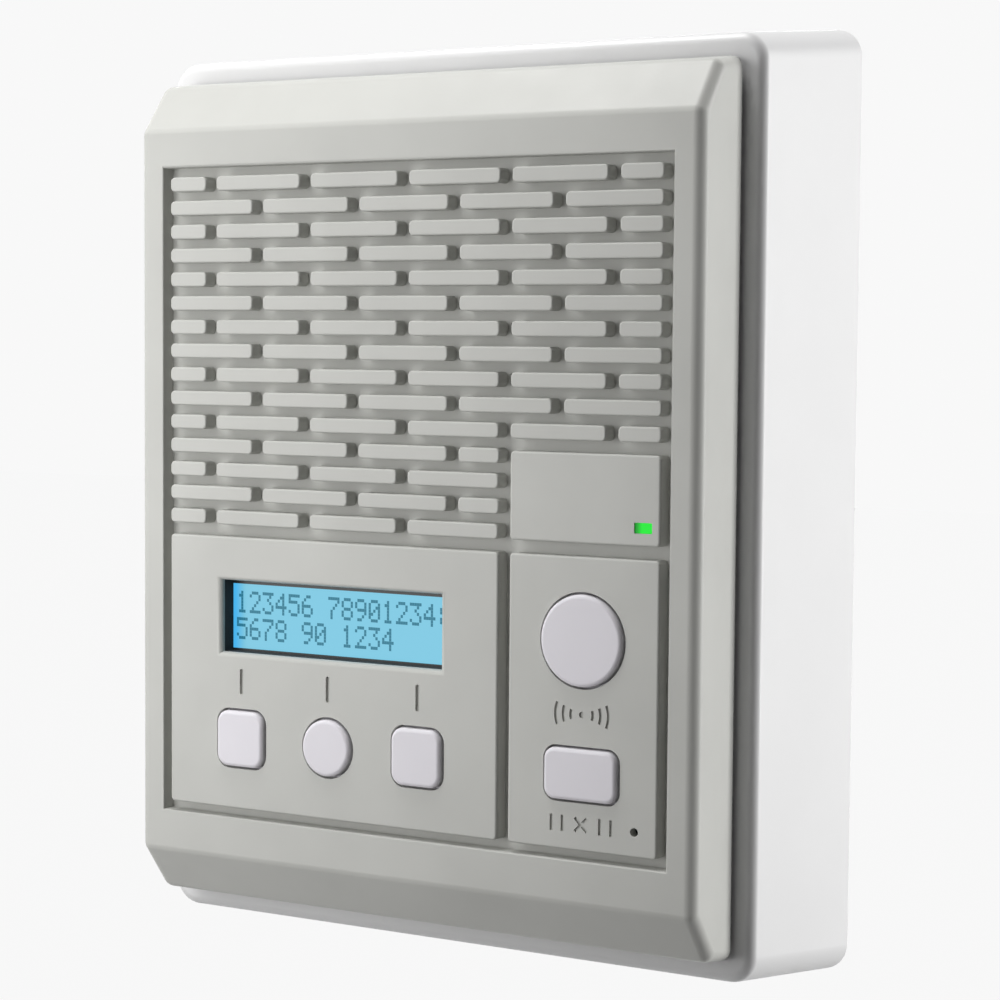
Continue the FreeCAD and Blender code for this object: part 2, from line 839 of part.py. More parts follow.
def light_pipe():
    """Clear pipe from the window of the name pad to the light on the control board."""
    x = at_x(light_across)
    z = at_z(light_down)
    end = at_y(control_board_depth - led_height)
    front = centred_block(x, z, light_width - 2 * pipe_play, light_height - 2 * pipe_play,
                          at_y(light_sunk), end, light_corner_radius)
    shoulder_y = at_y(floor_depth)
    shoulder = centred_block(x - pipe_shoulder / 2, z, light_width + pipe_shoulder,
                             light_height + 2 * pipe_shoulder, shoulder_y,
                             shoulder_y + pipe_shoulder_thickness, light_corner_radius)
    return joined([front, shoulder])


def status_led():
    """Surface-mounted light on the control board."""
    return centred_block(at_x(light_across), at_z(light_down), led_width, led_length,
                         at_y(control_board_depth - led_height), at_y(control_board_depth),
                         light_corner_radius)


def microphone():
    """Microphone capsule with its two pins."""
    x = at_x(mic_across)
    z = at_z(mic_down)
    back = panel_wall + boot_wall + mic_length
    capsule = rod(x, z, mic_radius - screw_play, at_y(panel_wall + boot_wall), at_y(back))
    pins = [rod(x + side * mic_radius / 2, z, mic_pin_radius, at_y(back - mic_length / 2),
                at_y(control_board_depth)) for side in (-1, 1)]
    return joined([capsule] + pins)


def microphone_boot():
    """Rubber boot that seals the microphone to its hole."""
    x = at_x(mic_across)
    z = at_z(mic_down)
    boot = rod(x, z, mic_radius + boot_wall, at_y(panel_wall), at_y(control_board_depth))
    boot = boot.cut(rod(x, z, mic_radius, at_y(panel_wall + boot_wall), at_y(control_board_depth) + 1))
    return boot.cut(rod(x, z, mic_hole_radius, at_y(panel_wall) - 1, at_y(control_board_depth)))


def speaker_ring(points):
    """Solid of the speaker turned about its axis from (radius, depth) points behind its rim."""
    placed = [(radius, at_y(rim_depth + depth)) for radius, depth in points]
    return turned(placed, at_x(speaker_across), at_z(speaker_below_recess_top))


def speaker_cloth():
    """Dust cloth between the panel and the speaker."""
    return speaker_ring([(0, -speaker_gasket_thickness - cloth_thickness),
                         (speaker_radius, -speaker_gasket_thickness - cloth_thickness),
                         (speaker_radius, -speaker_gasket_thickness), (0, -speaker_gasket_thickness)])


def speaker_gasket():
    """Foam ring in front of the rim of the speaker."""
    inner = speaker_radius - rim_width / 2
    return speaker_ring([(inner, -speaker_gasket_thickness), (speaker_radius, -speaker_gasket_thickness),
                         (speaker_radius, 0), (inner, 0)])


def speaker_basket():
    """Pressed steel frame of the speaker with its windows."""
    mouth = speaker_radius - rim_width
    shelf = basket_length - basket_thickness
    throat = cone_front + cone_thickness + basket_cone_gap
    shape = speaker_ring([(speaker_radius, 0), (speaker_radius, basket_thickness),
                          (mouth + basket_thickness, basket_thickness),
                          (mouth + basket_thickness, throat),
                          (motor_radius + basket_thickness, basket_length),
                          (magnet_inner_radius, basket_length), (magnet_inner_radius, shelf),
                          (motor_radius, shelf), (mouth, throat), (mouth, 0)])
    x = at_x(speaker_across)
    z = at_z(speaker_below_recess_top)
    y0 = at_y(rim_depth + basket_window_start)
    y1 = at_y(rim_depth + basket_window_end)
    half = basket_window_width / 2
    for index in range(basket_windows):
        cutter = block(magnet_inner_radius, speaker_radius, y0, y1, -half, half)
        cutter.rotate(FreeCAD.Vector(0, 0, 0), FreeCAD.Vector(0, 1, 0), 360 * index / basket_windows)
        cutter.translate(FreeCAD.Vector(x, 0, z))
        shape = shape.cut(cutter)
    return shape


def speaker_surround():
    """Flexible ring from the rim to the edge of the cone."""
    mouth = speaker_radius - rim_width
    lip = mouth + rim_width / 2 - 2 * screw_play
    inner = cone_outer_radius - cone_lip
    top = cone_front - surround_thickness
    return speaker_ring([(lip, -surround_thickness), (lip, 0), (mouth, 0), (cone_outer_radius, cone_front),
                         (inner, cone_front), (inner, top), (cone_outer_radius, top),
                         (mouth, -surround_thickness)])


def speaker_cone():
    """Paper cone with a flat lip under the surround."""
    lip = cone_outer_radius - cone_lip
    neck = coil_radius + coil_former_wall + screw_play
    back = cone_front + cone_depth
    return speaker_ring([(cone_outer_radius, cone_front), (cone_outer_radius, cone_front + cone_thickness),
                         (lip, cone_front + cone_thickness), (neck, back + cone_thickness), (neck, back),
                         (lip, cone_front)])


def speaker_dust_cap():
    """Domed cap over the voice coil."""
    base = coil_radius + cap_overlap
    lip = cone_outer_radius - cone_lip
    neck = coil_radius + coil_former_wall + screw_play
    seat = cone_front + cone_depth * (lip - base) / (lip - neck) - 2 * screw_play
    outside = []
    inside = []
    for index in range(cap_steps + 1):
        share = index / cap_steps
        outside.append((base * (1 - share), seat - cap_rise * (1 - (1 - share) ** 2)))
        inside.append(((base - cone_thickness) * (1 - share),
                       seat - (cap_rise - cone_thickness) * (1 - (1 - share) ** 2)))
    return speaker_ring(outside + inside[::-1])


def speaker_spider():
    """Ring that centres the voice coil, glued to the shelf of the basket."""
    shelf = basket_length - basket_thickness
    outer = motor_radius - 2 * screw_play
    neck = coil_radius + coil_former_wall + screw_play
    step = (outer + neck) / 2
    rise = shelf - spider_thickness - spider_depth
    return speaker_ring([(outer, shelf), (outer, shelf - spider_thickness), (step, shelf - spider_thickness),
                         (step - rise, spider_depth), (neck, spider_depth),
                         (neck, spider_depth + spider_thickness),
                         (step - rise - spider_thickness / 2, spider_depth + spider_thickness),
                         (step - spider_thickness / 2, shelf)])


def speaker_voice_coil():
    """Coil former with its winding, in the gap of the magnet."""
    outer = coil_radius + coil_former_wall
    front = cone_front + cone_depth - cone_thickness / 2
    back = basket_length + top_plate_thickness + 1
    middle = basket_length - coil_former_wall
    wound = outer + coil_winding
    return speaker_ring([(coil_radius, front), (outer, front), (outer, middle), (wound, middle),
                         (wound, back), (coil_radius, back)])


def speaker_top_plate():
    """Steel ring in front of the magnet."""
    inner = coil_radius + coil_former_wall + coil_winding + coil_gap
    back = basket_length + top_plate_thickness
    return speaker_ring([(inner, basket_length), (motor_radius, basket_length), (motor_radius, back),
                         (inner, back)])


def speaker_magnet():
    """Ring magnet."""
    front = basket_length + top_plate_thickness
    back = front + magnet_thickness
    return speaker_ring([(magnet_inner_radius, front), (magnet_radius, front), (magnet_radius, back),
                         (magnet_inner_radius, back)])


def speaker_back_plate():
    """Steel plate behind the magnet, with the pole that reaches into the coil."""
    front = basket_length + top_plate_thickness + magnet_thickness
    back = front + back_plate_thickness
    pole = coil_radius - coil_gap
    return speaker_ring([(0, basket_length), (pole, basket_length), (pole, front), (motor_radius, front),
                         (motor_radius, back), (0, back)])


def speaker_terminals():
    """Strip with the two solder tags, on the rear of the rim below the cone."""
    x = at_x(speaker_across)
    z = at_z(speaker_below_recess_top + speaker_radius)
    y0 = at_y(rim_depth + basket_thickness)
    strip = block(x - terminal_width / 2, x + terminal_width / 2, y0, y0 + terminal_height, z + 1,
                  z + rim_width - basket_thickness)
    return strip.common(rod(x, at_z(speaker_below_recess_top), speaker_radius, y0, y0 + terminal_height))


def speaker_clamps():
    """Four plates that hold the rim of the speaker."""
    clamps = []
    y0 = at_y(rim_depth + basket_thickness)
    for x, z, angle in speaker_clamp_places():
        outer = boss_radius + fixing_gap
        plate = soft_block(outer - clamp_length, outer, -clamp_width / 2, clamp_width / 2, y0,
                           y0 + clamp_thickness, clamp_thickness, 0)
        plate.rotate(FreeCAD.Vector(0, 0, 0), FreeCAD.Vector(0, 1, 0), -angle)
        plate.translate(FreeCAD.Vector(x, 0, z))
        clamps.append(plate.cut(screw_hole(x, z, y0 - 1, y0 + clamp_thickness + 1)))
    return group(clamps)


def speaker_screws():
    """Four screws of the speaker clamps."""
    seat = at_y(rim_depth + basket_thickness) + clamp_thickness
    bite = clamp_thickness + screw_bite / 2 - screw_play
    return group([rear_screw(x, z, seat, bite) for x, z, angle in speaker_clamp_places()])


def display_block(width, height, depth0, depth1, down=0.0):
    """Block centred on the display, between two depths, moved down if asked."""
    x = at_x(display_across)
    z = at_z(display_down + down)
    return block(x - width / 2, x + width / 2, at_y(depth0), at_y(depth1), z - height / 2, z + height / 2)


def display_glass():
    """Liquid-crystal glass behind the window."""
    return display_block(display_glass_width, display_glass_height, display_glass_depth,
                         display_glass_depth + display_glass_thickness)


def display_backlight():
    """Light guide behind the glass."""
    height = display_glass_height - 2 * strip_width - 2 * fixing_gap
    return display_block(display_glass_width - 2 * fixing_gap, height,
                         display_glass_depth + display_glass_thickness, display_board_depth)


def display_contact_strips():
    """Two rubber strips that carry the signals from the board to the glass."""
    offset = (display_glass_height - strip_width) / 2
    front = display_glass_depth + display_glass_thickness
    return group([display_block(display_glass_width - 2 * fixing_gap, strip_width, front,
                                display_board_depth, side * offset) for side in (-1, 1)])


def display_bezel():
    """Pressed steel frame that clamps the glass to the display board."""
    front = display_glass_depth - bezel_sheet
    shape = display_block(bezel_width, bezel_height, front, display_board_depth)
    shape = shape.cut(display_block(bezel_width - 2 * bezel_sheet, bezel_height - 2 * bezel_sheet,
                                    display_glass_depth, display_board_depth + 1))
    return shape.cut(display_block(bezel_view_width, bezel_view_height, front - 1, display_glass_depth + 1))


def display_seal():
    """Black foam frame that closes the gap between the window and the steel frame of the glass."""
    x = at_x(display_across)
    z = at_z(window_down)
    front = at_y(seal_front_depth)
    back = at_y(display_glass_depth - bezel_sheet)
    shape = centred_block(x, z, window_width + 2 * seal_width, window_height + 2 * seal_width, front, back,
                          pad_corner_radius)
    return shape.cut(centred_block(x, z, window_width, window_height, front - 1, back + 1,
                                   window_corner_radius))


def display_board():
    """Circuit board of the display."""
    shape = display_block(display_board_width, display_board_height, display_board_depth,
                          display_board_depth + board_thickness)
    for x, z in display_screw_places():
        shape = shape.cut(screw_hole(x, z, at_y(display_board_depth) - 1,
                                     at_y(display_board_depth) + board_thickness + 1))
    return shape


def display_screws():
    """Four screws of the display board."""
    seat = at_y(display_board_depth) + board_thickness
    bite = board_thickness + screw_bite - screw_play
    return group([rear_screw(x, z, seat, bite) for x, z in display_screw_places()])


def display_lead():
    """Flat lead from the rear of the display board to the rear of the control board."""
    sheet = bezel_sheet
    half = ribbon_width / 2
    near = display_board_depth + board_thickness
    far = control_board_depth + board_thickness
    board_end = display_down + display_board_height / 2
    between = (board_end + control_leg_bottom_down) / 2
    start = board_end - switch_size
    end = control_leg_bottom_down + switch_size
    points = [(near, start), (near + sheet, start), (near + sheet, between - sheet / 2),
              (far + sheet, between - sheet / 2), (far + sheet, end), (far, end), (far, between + sheet / 2),
              (near, between + sheet / 2)]
    placed = [(at_y(depth), at_z(down)) for depth, down in points]
    return profile_x(placed, at_x(display_across) - half, at_x(display_across) + half)


def main_board_places():
    """(x, z) of the four fixing points of the main board."""
    half_width = main_board_width / 2 - main_hole_inset
    half_height = main_board_height / 2 - main_hole_inset
    return [(sx * half_width, main_board_z + sz * half_height) for sx in (-1, 1) for sz in (-1, 1)]


def main_board():
    """Main circuit board in the wall box."""
    shape = block(-main_board_width / 2, main_board_width / 2, main_board_front_y, main_board_rear_y,
                  main_board_bottom, main_board_top)
    for x, z in main_board_places():
        shape = shape.cut(screw_hole(x, z, main_board_front_y - 1, main_board_rear_y + 1))
    return shape


def main_board_screws():
    """Four screws of the main board, driven from the front."""
    bite = board_thickness + screw_bite - screw_play
    return group([front_screw(x, z, main_board_front_y, bite) for x, z in main_board_places()])


def on_main_board(x, z, width, height, thickness):
    """Block that stands on the front of the main board."""
    return block(x - width / 2, x + width / 2, main_board_front_y - thickness, main_board_front_y,
                 z - height / 2, z + height / 2)


def main_left():
    """X of the left column of parts on the main board."""
    return -main_board_width / 2 + radio_width / 2 + shield_side_margin


def radio_z():
    """Z of the middle of the radio board."""
    return main_board_top - 2 * main_hole_inset - radio_height / 2


def radio_board():
    """Radio circuit board on the main board."""
    return on_main_board(main_left(), radio_z(), radio_width, radio_height, radio_board_thickness)


def radio_shield():
    """Tinned steel can over the radio circuit."""
    width = radio_width - 2 * shield_side_margin
    height = radio_height - 2 * shield_end_margin
    y1 = main_board_front_y - radio_board_thickness
    outer = block(main_left() - width / 2, main_left() + width / 2, y1 - shield_height, y1,
                  radio_z() - height / 2, radio_z() + height / 2)
    inner = block(main_left() - width / 2 + shield_sheet, main_left() + width / 2 - shield_sheet,
                  y1 - shield_height + shield_sheet, y1, radio_z() - height / 2 + shield_sheet,
                  radio_z() + height / 2 - shield_sheet)
    return outer.cut(inner)


def antenna():
    """Short sleeved aerial that stands up from the edge of the main board."""
    x = main_left() + main_hole_inset
    y = main_board_front_y - antenna_base / 2
    base = on_main_board(x, main_board_top - antenna_base / 2, antenna_base, antenna_base, antenna_base)
    room = box_front_height / 2 - box_wall - main_board_top
    whip = Part.makeCylinder(antenna_radius, room - antenna_top_gap, FreeCAD.Vector(x, y, main_board_top))
    return joined([base, whip])


def board_chips():
    """Processor, memory and loudspeaker amplifier."""
    chips = []
    for index, (width, height, thickness) in enumerate(chip_sizes):
        z = radio_z() - index * chip_pitch
        chips.append(on_main_board(-main_left(), z, width, height, thickness))
    return group(chips)


def board_capacitors():
    """Round capacitors near the power terminals."""
    row = main_board_bottom + 3 * main_hole_inset
    front = main_board_front_y - capacitor_height
    cans = []
    for index in range(capacitor_count):
        x = main_left() - capacitor_radius + index * capacitor_pitch
        cans.append(soft_rod(x, row, capacitor_radius, front, main_board_front_y, capacitor_edge_radius))
    return group(cans)


def terminal_block_z():
    """Z of the middle of the power terminals."""
    return main_board_bottom + terminal_block_height / 2


def terminal_block_ways():
    """X of each way of the power terminals."""
    pitch = terminal_block_width / terminal_ways
    return [(index + 0.5) * pitch - terminal_block_width / 2 for index in range(terminal_ways)]


def terminal_block():
    """Power and line terminals, with wire holes that face the cable entry."""
    z = terminal_block_z()
    shape = on_main_board(0, z, terminal_block_width, terminal_block_height, terminal_block_depth)
    front = main_board_front_y - terminal_block_depth
    hole_y = main_board_front_y - wire_hole_above_board
    for x in terminal_block_ways():
        shape = shape.cut(rod(x, z, way_radius, front - 1, front + way_depth))
        mouth = FreeCAD.Vector(x, hole_y, z - terminal_block_height / 2 - 1)
        shape = shape.cut(Part.makeCylinder(wire_hole_radius, terminal_block_height / 2, mouth))
    return shape


def terminal_screws():
    """Slotted clamp screw of each way."""
    back = main_board_front_y - terminal_block_depth + way_depth
    front = back - way_screw_length
    z = terminal_block_z()
    screws = []
    for x in terminal_block_ways():
        screw = rod(x, z, way_radius - screw_play, front, back)
        slot = block(x - way_radius, x + way_radius, front - 1, front + way_slot_depth,
                     z - way_slot_width / 2, z + way_slot_width / 2)
        screws.append(screw.cut(slot))
    return group(screws)


def ribbon_x():
    """X of the ribbon cable and its sockets."""
    return at_x(call_across) - ribbon_width / 2


def ribbon_main_z():
    """Z of the ribbon socket on the main board."""
    return (main_board_z + main_board_bottom) / 2


def ribbon_sockets():
    """Two sockets of the ribbon cable, on the control board and on the main board."""
    width = ribbon_width + 2 * socket_side
    x = ribbon_x()
    near = at_y(control_board_depth) + board_thickness
    z = at_z(key_down + switch_size)
    upper = block(x - width / 2, x + width / 2, near, near + socket_depth, z - socket_height / 2,
                  z + socket_height / 2)
    return group([upper, on_main_board(x, ribbon_main_z(), width, socket_height, socket_depth)])


def stepped_path(x, y0, z0, y1, z1, radius, y_turn):
    """Centre line that goes back, turns along Z and goes back again."""
    way = 1 if z1 > z0 else -1
    corner = radius * math.sqrt(0.5)
    first = FreeCAD.Vector(x, y_turn - radius, z0)
    second = FreeCAD.Vector(x, y_turn, z0 + way * radius)
    third = FreeCAD.Vector(x, y_turn, z1 - way * radius)
    fourth = FreeCAD.Vector(x, y_turn + radius, z1)
    middle_a = FreeCAD.Vector(x, y_turn - radius + corner, z0 + way * (radius - corner))
    middle_b = FreeCAD.Vector(x, y_turn + radius - corner, z1 - way * (radius - corner))
    return Part.Wire([Part.LineSegment(FreeCAD.Vector(x, y0, z0), first).toShape(),
                      Part.Arc(first, middle_a, second).toShape(),
                      Part.LineSegment(second, third).toShape(),
                      Part.Arc(third, middle_b, fourth).toShape(),
                      Part.LineSegment(fourth, FreeCAD.Vector(x, y1, z1)).toShape()])


def ribbon_cable():
    """Flat cable between the two sockets."""
    x = ribbon_x()
    y0 = at_y(control_board_depth) + board_thickness + socket_depth
    z0 = at_z(key_down + switch_size)
    y1 = main_board_front_y - socket_depth
    path = stepped_path(x, y0, z0, y1, ribbon_main_z(), ribbon_bend, (y0 + y1) / 2)
    half = ribbon_width / 2
    thin = ribbon_thickness / 2
    outline = [FreeCAD.Vector(x - half, y0, z0 - thin), FreeCAD.Vector(x + half, y0, z0 - thin),
               FreeCAD.Vector(x + half, y0, z0 + thin), FreeCAD.Vector(x - half, y0, z0 + thin)]
    outline.append(outline[0])
    return path.makePipeShell([Part.Wire(Part.makePolygon(outline))], True, False)


def speaker_leads():
    """Two insulated wires from the speaker terminals to the main board."""
    y0 = at_y(rim_depth + basket_thickness) + terminal_height
    z0 = at_z(speaker_below_recess_top + speaker_radius) + (1 + rim_width - basket_thickness) / 2
    z1 = z0 - lead_drop
    leads = []
    for side in (-1, 1):
        x = at_x(speaker_across) + side * lead_spacing / 2
        turn = (y0 + main_board_front_y) / 2
        path = stepped_path(x, y0, z0, main_board_front_y, z1, lead_bend, turn)
        circle = Part.makeCircle(lead_radius, FreeCAD.Vector(x, y0, z0), FreeCAD.Vector(0, 1, 0))
        leads.append(path.makePipeShell([Part.Wire(circle)], True, False))
    return group(leads)


def all_parts():
    """Every sub-part by its node name."""
    parts = {
        "back_box": back_box(),
        "cable_grommet": cable_grommet(),
        "front_panel": front_panel(),
        "panel_gasket": panel_gasket(),
        "panel_screws": panel_screws(),
        "speaker_cloth": speaker_cloth(),
        "speaker_gasket": speaker_gasket(),
        "speaker_basket": speaker_basket(),
        "speaker_surround": speaker_surround(),
        "speaker_cone": speaker_cone(),
        "speaker_dust_cap": speaker_dust_cap(),
        "speaker_spider": speaker_spider(),
        "speaker_voice_coil": speaker_voice_coil(),
        "speaker_top_plate": speaker_top_plate(),
        "speaker_magnet": speaker_magnet(),
        "speaker_back_plate": speaker_back_plate(),
        "speaker_terminals": speaker_terminals(),
        "speaker_clamps": speaker_clamps(),
        "speaker_screws": speaker_screws(),
        "speaker_leads": speaker_leads(),
        "display_glass": display_glass(),
        "display_bezel": display_bezel(),
        "display_seal": display_seal(),
        "display_backlight": display_backlight(),
        "display_contact_strips": display_contact_strips(),
        "display_board": display_board(),
        "display_screws": display_screws(),
        "display_lead": display_lead(),
        "control_board": control_board(),
        "control_screws": control_screws(),
        "key_switches": key_switches(),
        "status_led": status_led(),
        "light_pipe": light_pipe(),
        "microphone": microphone(),
        "microphone_boot": microphone_boot(),
        "main_board": main_board(),
        "main_board_screws": main_board_screws(),
        "board_chips": board_chips(),
        "board_capacitors": board_capacitors(),
        "terminal_block": terminal_block(),
        "terminal_screws": terminal_screws(),
        "radio_board": radio_board(),
        "radio_shield": radio_shield(),
        "antenna": antenna(),
        "ribbon_sockets": ribbon_sockets(),
        "ribbon_cable": ribbon_cable(),
    }
    for name, across, down in button_places():
        parts[name] = button(name, across, down)
        parts[name + "_plunger"] = button_plunger(across, down)
    return parts


for node, shape in all_parts().items():
    shape.exportStep("parts/" + node + ".step")
    print(node, len(shape.Solids), round(shape.Volume, 2), shape.isValid())
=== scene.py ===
"""Looks of the wall-mounted wireless intercom station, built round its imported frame.

Sizes are in millimetres in the part's own frame: +X to the right of someone who faces the
station, +Y into the wall and +Z up, from the centre of the rear face.
"""

import logging
import math
from dataclasses import dataclass, field
from enum import Enum
from typing import Callable, ClassVar, Iterable, Self

import bmesh
import bpy
from mathutils import Matrix, Vector


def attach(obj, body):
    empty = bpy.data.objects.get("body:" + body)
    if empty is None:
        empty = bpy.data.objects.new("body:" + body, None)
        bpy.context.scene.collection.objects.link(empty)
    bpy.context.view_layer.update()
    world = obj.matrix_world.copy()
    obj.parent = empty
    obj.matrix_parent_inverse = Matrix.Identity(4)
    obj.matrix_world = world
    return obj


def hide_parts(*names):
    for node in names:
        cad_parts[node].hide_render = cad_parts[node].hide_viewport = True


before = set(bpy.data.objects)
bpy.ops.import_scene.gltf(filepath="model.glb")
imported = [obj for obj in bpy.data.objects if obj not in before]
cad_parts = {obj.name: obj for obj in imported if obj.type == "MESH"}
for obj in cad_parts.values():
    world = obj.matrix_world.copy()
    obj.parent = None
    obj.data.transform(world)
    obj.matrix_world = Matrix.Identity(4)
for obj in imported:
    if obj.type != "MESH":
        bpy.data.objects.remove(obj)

logging.basicConfig(level=logging.INFO, format="%(name)s: %(message)s")
log = logging.getLogger("station")

MM = 0.001
STATION = "station"

# How near two places and two points of a mesh count as one
TOUCH = 0.01
MERGE = 0.0005

# The least fold of a hole's rim, and the least part of a normal that faces along an axis
RIM_FOLD_DEG = 60.0
FACING = 0.9

# Facets of cylinders and curved bars
POST_SIDES = 32
SMALL_SIDES = 24
ARC_STEPS = 8

Pair = tuple[float, float]
Triple = tuple[float, float, float]
Color = tuple[float, float, float]
Socket = bpy.types.NodeSocket


# Bench: how a mesh is shaped

def select_nothing() -> None:
    """Leaves edit mode and clears the selection."""
    active = bpy.context.view_layer.objects.active
    if active is not None and active.mode != "OBJECT":
        bpy.ops.object.mode_set(mode="OBJECT")
    bpy.ops.object.select_all(action="DESELECT")


def same(a: float, b: float) -> bool:
    """Says whether two sizes in millimetres are the same place."""
    return abs(a - b) < TOUCH


def metres(sizes: Iterable[float]) -> list[float]:
    """Turns sizes in millimetres into metres."""
    return [size * MM for size in sizes]


def around(x: float, z: float, wide: float, tall: float, ends: Pair) -> tuple[Triple, Triple]:
    """Gives the corners of a block about a place, from half its width and height."""
    return (x - wide, ends[0], z - tall), (x + wide, ends[1], z + tall)


class Workpiece:
    """One mesh on the bench, shaped with the operators of edit mode."""

    def __init__(self, obj: bpy.types.Object) -> None:
        """Takes up a mesh object whose place is in its mesh."""
        self.obj = obj

    @classmethod
    def _taken_up(cls, name: str) -> Self:
        """Wraps the primitive that was just added and moves its place into its mesh.

        Args:
            name: The object's name.

        Returns:
            The new workpiece.
        """
        bpy.ops.object.transform_apply(location=True, rotation=True, scale=True)
        obj = bpy.context.view_layer.objects.active
        obj.name = name
        obj.data.name = name
        return cls(obj)

    @classmethod
    def block(cls, name: str, low: Triple, high: Triple) -> Self:
        """Starts from a cube.

        Args:
            name: The object's name.
            low: The lowest corner.
            high: The highest corner.

        Returns:
            The new workpiece.
        """
        select_nothing()
        centre = [(a + b) / 2 * MM for a, b in zip(low, high)]
        span = [(b - a) * MM for a, b in zip(low, high)]
        bpy.ops.mesh.primitive_cube_add(size=1, location=centre, scale=span)
        return cls._taken_up(name)

    @classmethod
    def _round(cls, name: str, centre: Triple, radius: float, ends: Pair, sides: int,
               tilt: float) -> Self:
        """Starts from a cylinder.

        Args:
            name: The object's name.
            centre: Its middle.
            radius: Its radius.
            ends: Where it starts and ends along its axis.
            sides: How many sides it has.
            tilt: Its turn about X, from upright.

        Returns:
            The new workpiece.
        """
        select_nothing()
        bpy.ops.mesh.primitive_cylinder_add(
            vertices=sides, radius=radius * MM, depth=(ends[1] - ends[0]) * MM,
            location=metres(centre), rotation=(tilt, 0, 0))
        return cls._taken_up(name)

    @classmethod
    def rod(cls, name: str, x: float, z: float, radius: float, ends: Pair, sides: int = 48) -> Self:
        """Starts from a cylinder along Y."""
        return cls._round(name, (x, sum(ends) / 2, z), radius, ends, sides, math.pi / 2)

    @classmethod
    def post(cls, name: str, x: float, y: float, radius: float, ends: Pair) -> Self:
        """Starts from a cylinder along Z."""
        return cls._round(name, (x, y, sum(ends) / 2), radius, ends, POST_SIDES, 0.0)

    @classmethod
    def soft_block(cls, name: str, low: Triple, high: Triple, corner: float,
                   segments: int = 6) -> Self:
        """Starts from a cube and rounds the four edges that run front to back.

        Args:
            name: The object's name.
            low: The lowest corner.
            high: The highest corner.
            corner: The corner radius in the front view.
            segments: How many facets a corner has.

        Returns:
            The new workpiece.
        """
        piece = cls.block(name, low, high)
        piece.pick_edges(lambda a, b: same(a.x, b.x) and same(a.z, b.z))
        return piece.bevel(corner, segments)

    @classmethod
    def arc(cls, name: str, x: float, z: float, radius: float, width: float, ends: Pair,
            start_deg: float, sweep_deg: float) -> Self:
        """Spins a small rectangle about an axis along Y, as a curved bar.

        Args:
            name: The object's name.
            x: X of the axis.
            z: Z of the axis.
            radius: The radius of the bar's middle line.
            width: The bar's width.
            ends: Y of its front and of its rear.
            start_deg: The angle at which it starts, from +X towards +Z.
            sweep_deg: The angle that it spans.

        Returns:
            The new workpiece.
        """
        select_nothing()
        turn = math.radians(start_deg)
        middle = (x + radius * math.cos(turn), sum(ends) / 2, z + radius * math.sin(turn))
        bpy.ops.mesh.primitive_plane_add(size=width * MM, location=metres(middle),
                                         rotation=(0, -turn, 0))
        piece = cls._taken_up(name)
        piece.pick_all().widen((1.0, (ends[1] - ends[0]) / width, 1.0), middle)
        bpy.ops.mesh.spin(steps=ARC_STEPS, angle=math.radians(sweep_deg),
                          center=metres((x, 0.0, z)), axis=(0, 1, 0))
        return piece.leave().outwards()

    def activate(self) -> None:
        """Makes this the only selected object and the active one."""
        select_nothing()
        bpy.context.view_layer.objects.active = self.obj
        self.obj.select_set(True)

    def _open(self, kind: str) -> bmesh.types.BMesh:
        """Opens edit mode with nothing selected, for faces or edges, and gives the mesh.

        Args:
            kind: FACE or EDGE.

        Returns:
            The mesh in edit mode.
        """
        self.activate()
        bpy.ops.object.mode_set(mode="EDIT")
        bpy.ops.mesh.select_mode(type=kind)
        bpy.ops.mesh.select_all(action="DESELECT")
        return bmesh.from_edit_mesh(self.obj.data)

    def leave(self) -> Self:
        """Goes back to object mode."""
        bpy.ops.object.mode_set(mode="OBJECT")
        return self

    def pick_faces(self, test: Callable[[Vector], bool]) -> Self:
        """Opens edit mode with some faces selected.

        Args:
            test: Says yes or no to a face's normal.

        Returns:
            This workpiece, in edit mode.
        """
        for face in self._open("FACE").faces:
            face.select_set(test(face.normal))
        bmesh.update_edit_mesh(self.obj.data)
        return self

    def pick_all(self) -> Self:
        """Opens edit mode with every face selected."""
        return self.pick_faces(lambda normal: True)

    def pick_edges(self, test: Callable[[Vector, Vector], bool], fold_deg: float = 0.0) -> Self:
        """Opens edit mode with some edges selected.

        Args:
            test: Says yes or no to an edge's two ends in millimetres.
            fold_deg: The least angle between the edge's two faces.

        Returns:
            This workpiece, in edit mode.
        """
        least = math.radians(fold_deg)
        for edge in self._open("EDGE").edges:
            if edge.calc_face_angle(0.0) >= least:
                edge.select_set(test(edge.verts[0].co / MM, edge.verts[1].co / MM))
        bmesh.update_edit_mesh(self.obj.data)
        return self

    def bevel(self, width: float, segments: int) -> Self:
        """Rounds the selected edges and goes back to object mode."""
        bpy.ops.mesh.bevel(offset=width * MM, offset_type="OFFSET", segments=segments,
                           profile=0.5, affect="EDGES", clamp_overlap=True)
        return self.leave()

    def soften(self, y: float, width: float, segments: int = 3, fold_deg: float = 0.0,
               where: Callable[[Vector], bool] = lambda end: True) -> Self:
        """Rounds the edges that lie across Y at one place.

        Args:
            y: Y of the edges.
            width: How wide the rounding is.
            segments: How many facets it has.
            fold_deg: The least angle between an edge's two faces.
            where: Says yes or no to an edge's end in millimetres.

        Returns:
            This workpiece.
        """
        self.pick_edges(lambda a, b: same(a.y, y) and same(b.y, y) and where(a) and where(b),
                        fold_deg)
        return self.bevel(width, segments)

    def extrude(self, depth: float = 0.0) -> Self:
        """Extrudes the selected faces along Y and stays in edit mode with the new ones."""
        bpy.ops.mesh.extrude_region_move(TRANSFORM_OT_translate={"value": (0, depth * MM, 0)})
        return self

    def widen(self, factors: Triple, centre: Triple) -> Self:
        """Resizes what is selected about a point and stays in edit mode."""
        bpy.ops.transform.resize(value=factors, center_override=metres(centre))
        return self

